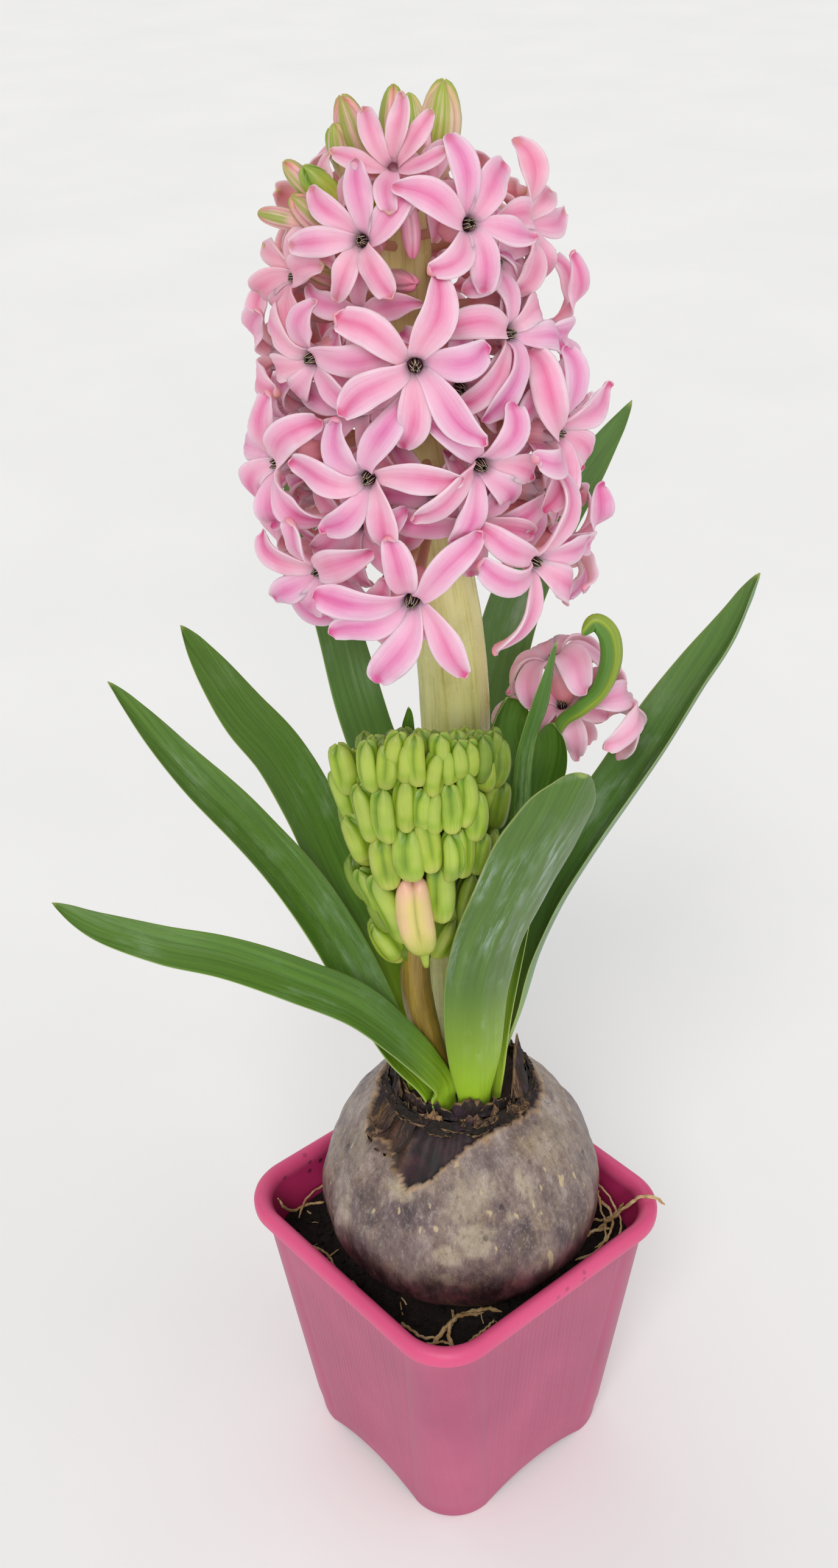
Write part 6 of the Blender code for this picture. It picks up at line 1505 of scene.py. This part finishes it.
def build_soil():
    rng = seeded(700)
    piece = Piece()
    rings, tt = [], []
    top_half = wall_half(SOIL_TOP) - POT_WALL - 0.25
    for s in np.linspace(0.45, 1.0, 46):
        h = top_half * s
        ring, _, _ = square_ring(h, max(1.0, (POT_CORNER_R - 1.5) * s), SOIL_TOP, 48, 16)
        ring[:, 2] = soil_height(ring[:, 0], ring[:, 1]) + 1.1 * smoothstep(s, 0.90, 1.0)
        rings.append(ring)
    for z, inset in ((54.0, 0.05), (48, 0.1), (30, 0.1), (10, 0.15), (5.3, 0.3), (4.35, 1.4)):
        rings.append(square_ring(wall_half(z) - POT_WALL - 0.25 - inset, POT_CORNER_R - 1.5, z, 48, 16)[0])
    rings.append(square_ring(6, 5.9, 4.3, 48, 16)[0])
    rings = np.array(rings)
    piece.loft(rings, 0)
    # crumbs
    ball = []
    for a in np.linspace(0.12, pi - 0.12, 5):
        w = np.arange(7) * 2 * pi / 7
        ball.append(np.stack([np.sin(a) * np.cos(w), np.sin(a) * np.sin(w), np.full(7, -np.cos(a))], 1))
    ball = np.array(ball)
    count = 0
    while count < 620:
        x, y = rng.uniform(-top_half, top_half, 2)
        dx, dy = max(0, abs(x) - (top_half - 9)), max(0, abs(y) - (top_half - 9))
        if hypot(dx, dy) > 8.6 or hypot(x - BULB_X * cos(PLANT_TURN), y - BULB_X * sin(PLANT_TURN)) < 19.5:
            continue
        count += 1
        r = 0.22 + 0.75 * rng.uniform() ** 2.6
        lump = ball * (1 + 0.28 * vnoise(ball * 3 + count, 1.6, 2)[..., None]) * (r * rng.uniform(0.7, 1.3, 3))
        z = float(soil_height(np.array(x), np.array(y)))
        piece.loft(lump + np.array([x, y, z + r * 0.25]), 0)
    # bark and fibre bits
    for k in range(110):
        a = rng.uniform(0, 2 * pi)
        rad = rng.uniform(20.5, 38)
        x, y = rad * cos(a), rad * sin(a)
        if max(abs(x), abs(y)) > top_half - 1.2:
            continue
        d = rng.uniform(0, pi)
        L = rng.uniform(1.2, 4.0)
        q = np.linspace(-0.5, 0.5, 6)[:, None]
        line = np.array([x, y, 0]) + q * L * np.array([cos(d), sin(d), 0]) + (q**2) * rng.uniform(-1, 1) * np.array([-sin(d), cos(d), 0])
        line[:, 2] = soil_height(line[:, 0], line[:, 1]) + rng.uniform(0.15, 0.6)
        piece.loft(tube_rings(line, rng.uniform(0.08, 0.22), 6), 0 if rng.uniform() < 0.45 else 1, u=0.5, t=0.4 * k, rnd=float(k))
    # pale grains
    for k in range(14):
        x, y = rng.uniform(-top_half + 1, top_half - 1, 2)
        if hypot(x, y) < 26:
            continue
        z = float(soil_height(np.array(x), np.array(y)))
        piece.loft(ball * 0.35 + np.array([x, y, z + 0.35]), 1, u=0.2, t=0.3, rnd=2.0)
    return piece.object("peat_surface", [PEAT, ROOT_MAT], "potting_mix", "peat_mix", turn=False)


build_soil()


def strand(piece, pts, r, seed, lay=False):
    pts = np.array(pts, float)
    n = max(30, int(18 * len(pts)))
    path = catmull(pts, np.linspace(0, 1, n))
    if lay:
        path[:, 2] = np.maximum(path[:, 2], soil_height(path[:, 0], path[:, 1]) + r)
    q = np.linspace(0, 1, n)
    path = path + 0.16 * np.stack([wave_noise(q * 5, seed, 3), wave_noise(q * 5, seed + 1, 3), wave_noise(q * 5, seed + 2, 3)], 1)
    rad = r * (1 + 0.22 * wave_noise(q * 4, seed + 3, 3)) * np.interp(q, [0, 0.04, 0.9, 1], [0.5, 1, 0.9, 0.35])
    s = np.concatenate([[0], np.cumsum(np.linalg.norm(np.diff(path, axis=0), axis=1))])
    piece.loft(tube_rings(path, rad, 9), 0, u=np.broadcast_to(np.abs(np.sin(np.arange(9)))[None], (n, 9)), t=np.repeat(s[:, None], 9, 1), rnd=float(seed % 17))


ROOTS_FRONT = [
    ([(20.6, -25.2, 56.0), (20.1, -22.4, 57.2), (19.4, -18.8, 57.6), (19.1, -15.4, 57.4), (20.1, -12.4, 57.0), (21.7, -9.9, 56.6), (24.1, -8.2, 55.8)], 0.50),
    ([(23.6, -21.7, 56.0), (21.2, -20.7, 57.0), (19.8, -18.8, 58.0), (19.4, -16.3, 57.8), (20.4, -13.9, 57.4), (21.6, -11.1, 56.6)], 0.44),
    ([(16.7, -15.7, 57.2), (18.8, -17.3, 57.8), (20.2, -19.0, 57.4)], 0.26),
    ([(18.6, -26.0, 56.0), (20.6, -24.8, 57.0), (22.0, -22.6, 57.0), (24.6, -21.4, 56.0)], 0.30),
    ([(11.5, -25.5, 56.0), (14.6, -25.6, 56.8), (18.0, -25.0, 56.8), (20.2, -22.6, 57.0)], 0.34),
    ([(24.6, -18.0, 56.0), (25.0, -14.0, 56.8), (24.2, -10.2, 56.4)], 0.26),
]
ROOTS_RIGHT = [
    ([(22.0, 9.0, 56.0), (22.5, 15.1, 57.0), (21.8, 17.9, 57.2), (20.9, 20.6, 57.0), (21.6, 23.6, 57.2), (24.0, 25.6, 58.0)], 0.44),
    ([(21.4, 23.5, 57.0), (22.4, 25.2, 59.0), (24.4, 26.4, 62.0), (27.0, 28.2, 66.6), (29.0, 29.6, 68.9), (31.4, 31.2, 69.0), (33.0, 32.4, 67.4)], 0.42),
    ([(13.2, 27.6, 57.0), (16.6, 27.8, 60.0), (20.6, 27.4, 61.0), (23.6, 26.0, 60.0), (25.2, 23.0, 58.0), (24.6, 19.6, 56.6)], 0.34),
    ([(11.0, 28.8, 58.0), (13.4, 29.4, 62.0), (17.6, 28.9, 63.4), (22.0, 28.3, 61.5), (25.8, 26.6, 59.0), (27.4, 22.0, 57.0)], 0.26),
    ([(18.4, 24.6, 57.4), (20.8, 26.0, 58.0), (23.2, 27.4, 61.0), (24.6, 28.2, 64.5)], 0.30),
    ([(24.0, 14.0, 56.4), (25.6, 18.0, 57.0), (25.0, 22.0, 57.6), (22.4, 25.0, 58.6), (19.0, 26.8, 60.6), (17.6, 27.6, 63.6)], 0.28),
    ([(27.0, 8.0, 56.2), (27.6, 13.0, 56.8), (26.6, 18.0, 57.2), (26.6, 23.0, 58.0)], 0.24),
]
ROOTS_LEFT = [
    ([(-27.0, -16.0, 56.4), (-28.6, -20.0, 57.0), (-28.2, -23.6, 58.0), (-27.6, -26.6, 61.5), (-28.2, -27.6, 64.5)], 0.34),
    ([(-29.4, -10.0, 57.0), (-29.6, -14.6, 58.5), (-29.2, -19.4, 58.0), (-26.6, -23.6, 57.0)], 0.26),
    ([(-18.0, -26.2, 56.4), (-14.0, -25.6, 56.8), (-10.6, -26.4, 56.8), (-8.0, -28.0, 56.4)], 0.30),
    ([(-30.0, -6.0, 58.0), (-30.2, -8.6, 62.0), (-29.8, -11.6, 64.0)], 0.22),
    ([(-26.0, 14.0, 56.4), (-27.4, 20.0, 57.2), (-24.6, 25.6, 57.0), (-19.0, 27.4, 56.6)], 0.36),
    ([(-12.0, 27.6, 56.4), (-16.4, 26.0, 57.0), (-21.6, 27.4, 57.4), (-25.8, 25.2, 58.0)], 0.28),
]
for title, node, sets, seed in (("roots_front_corner", "root_front", ROOTS_FRONT, 800), ("roots_right_corner", "root_right", ROOTS_RIGHT, 850), ("roots_left_corner", None, ROOTS_LEFT, 900)):
    piece = Piece()
    for k, (pts, r) in enumerate(sets):
        strand(piece, pts, r, seed + 4 * k, lay=True)
    piece.object(title, [ROOT_MAT], node, "dry_roots", turn=False)
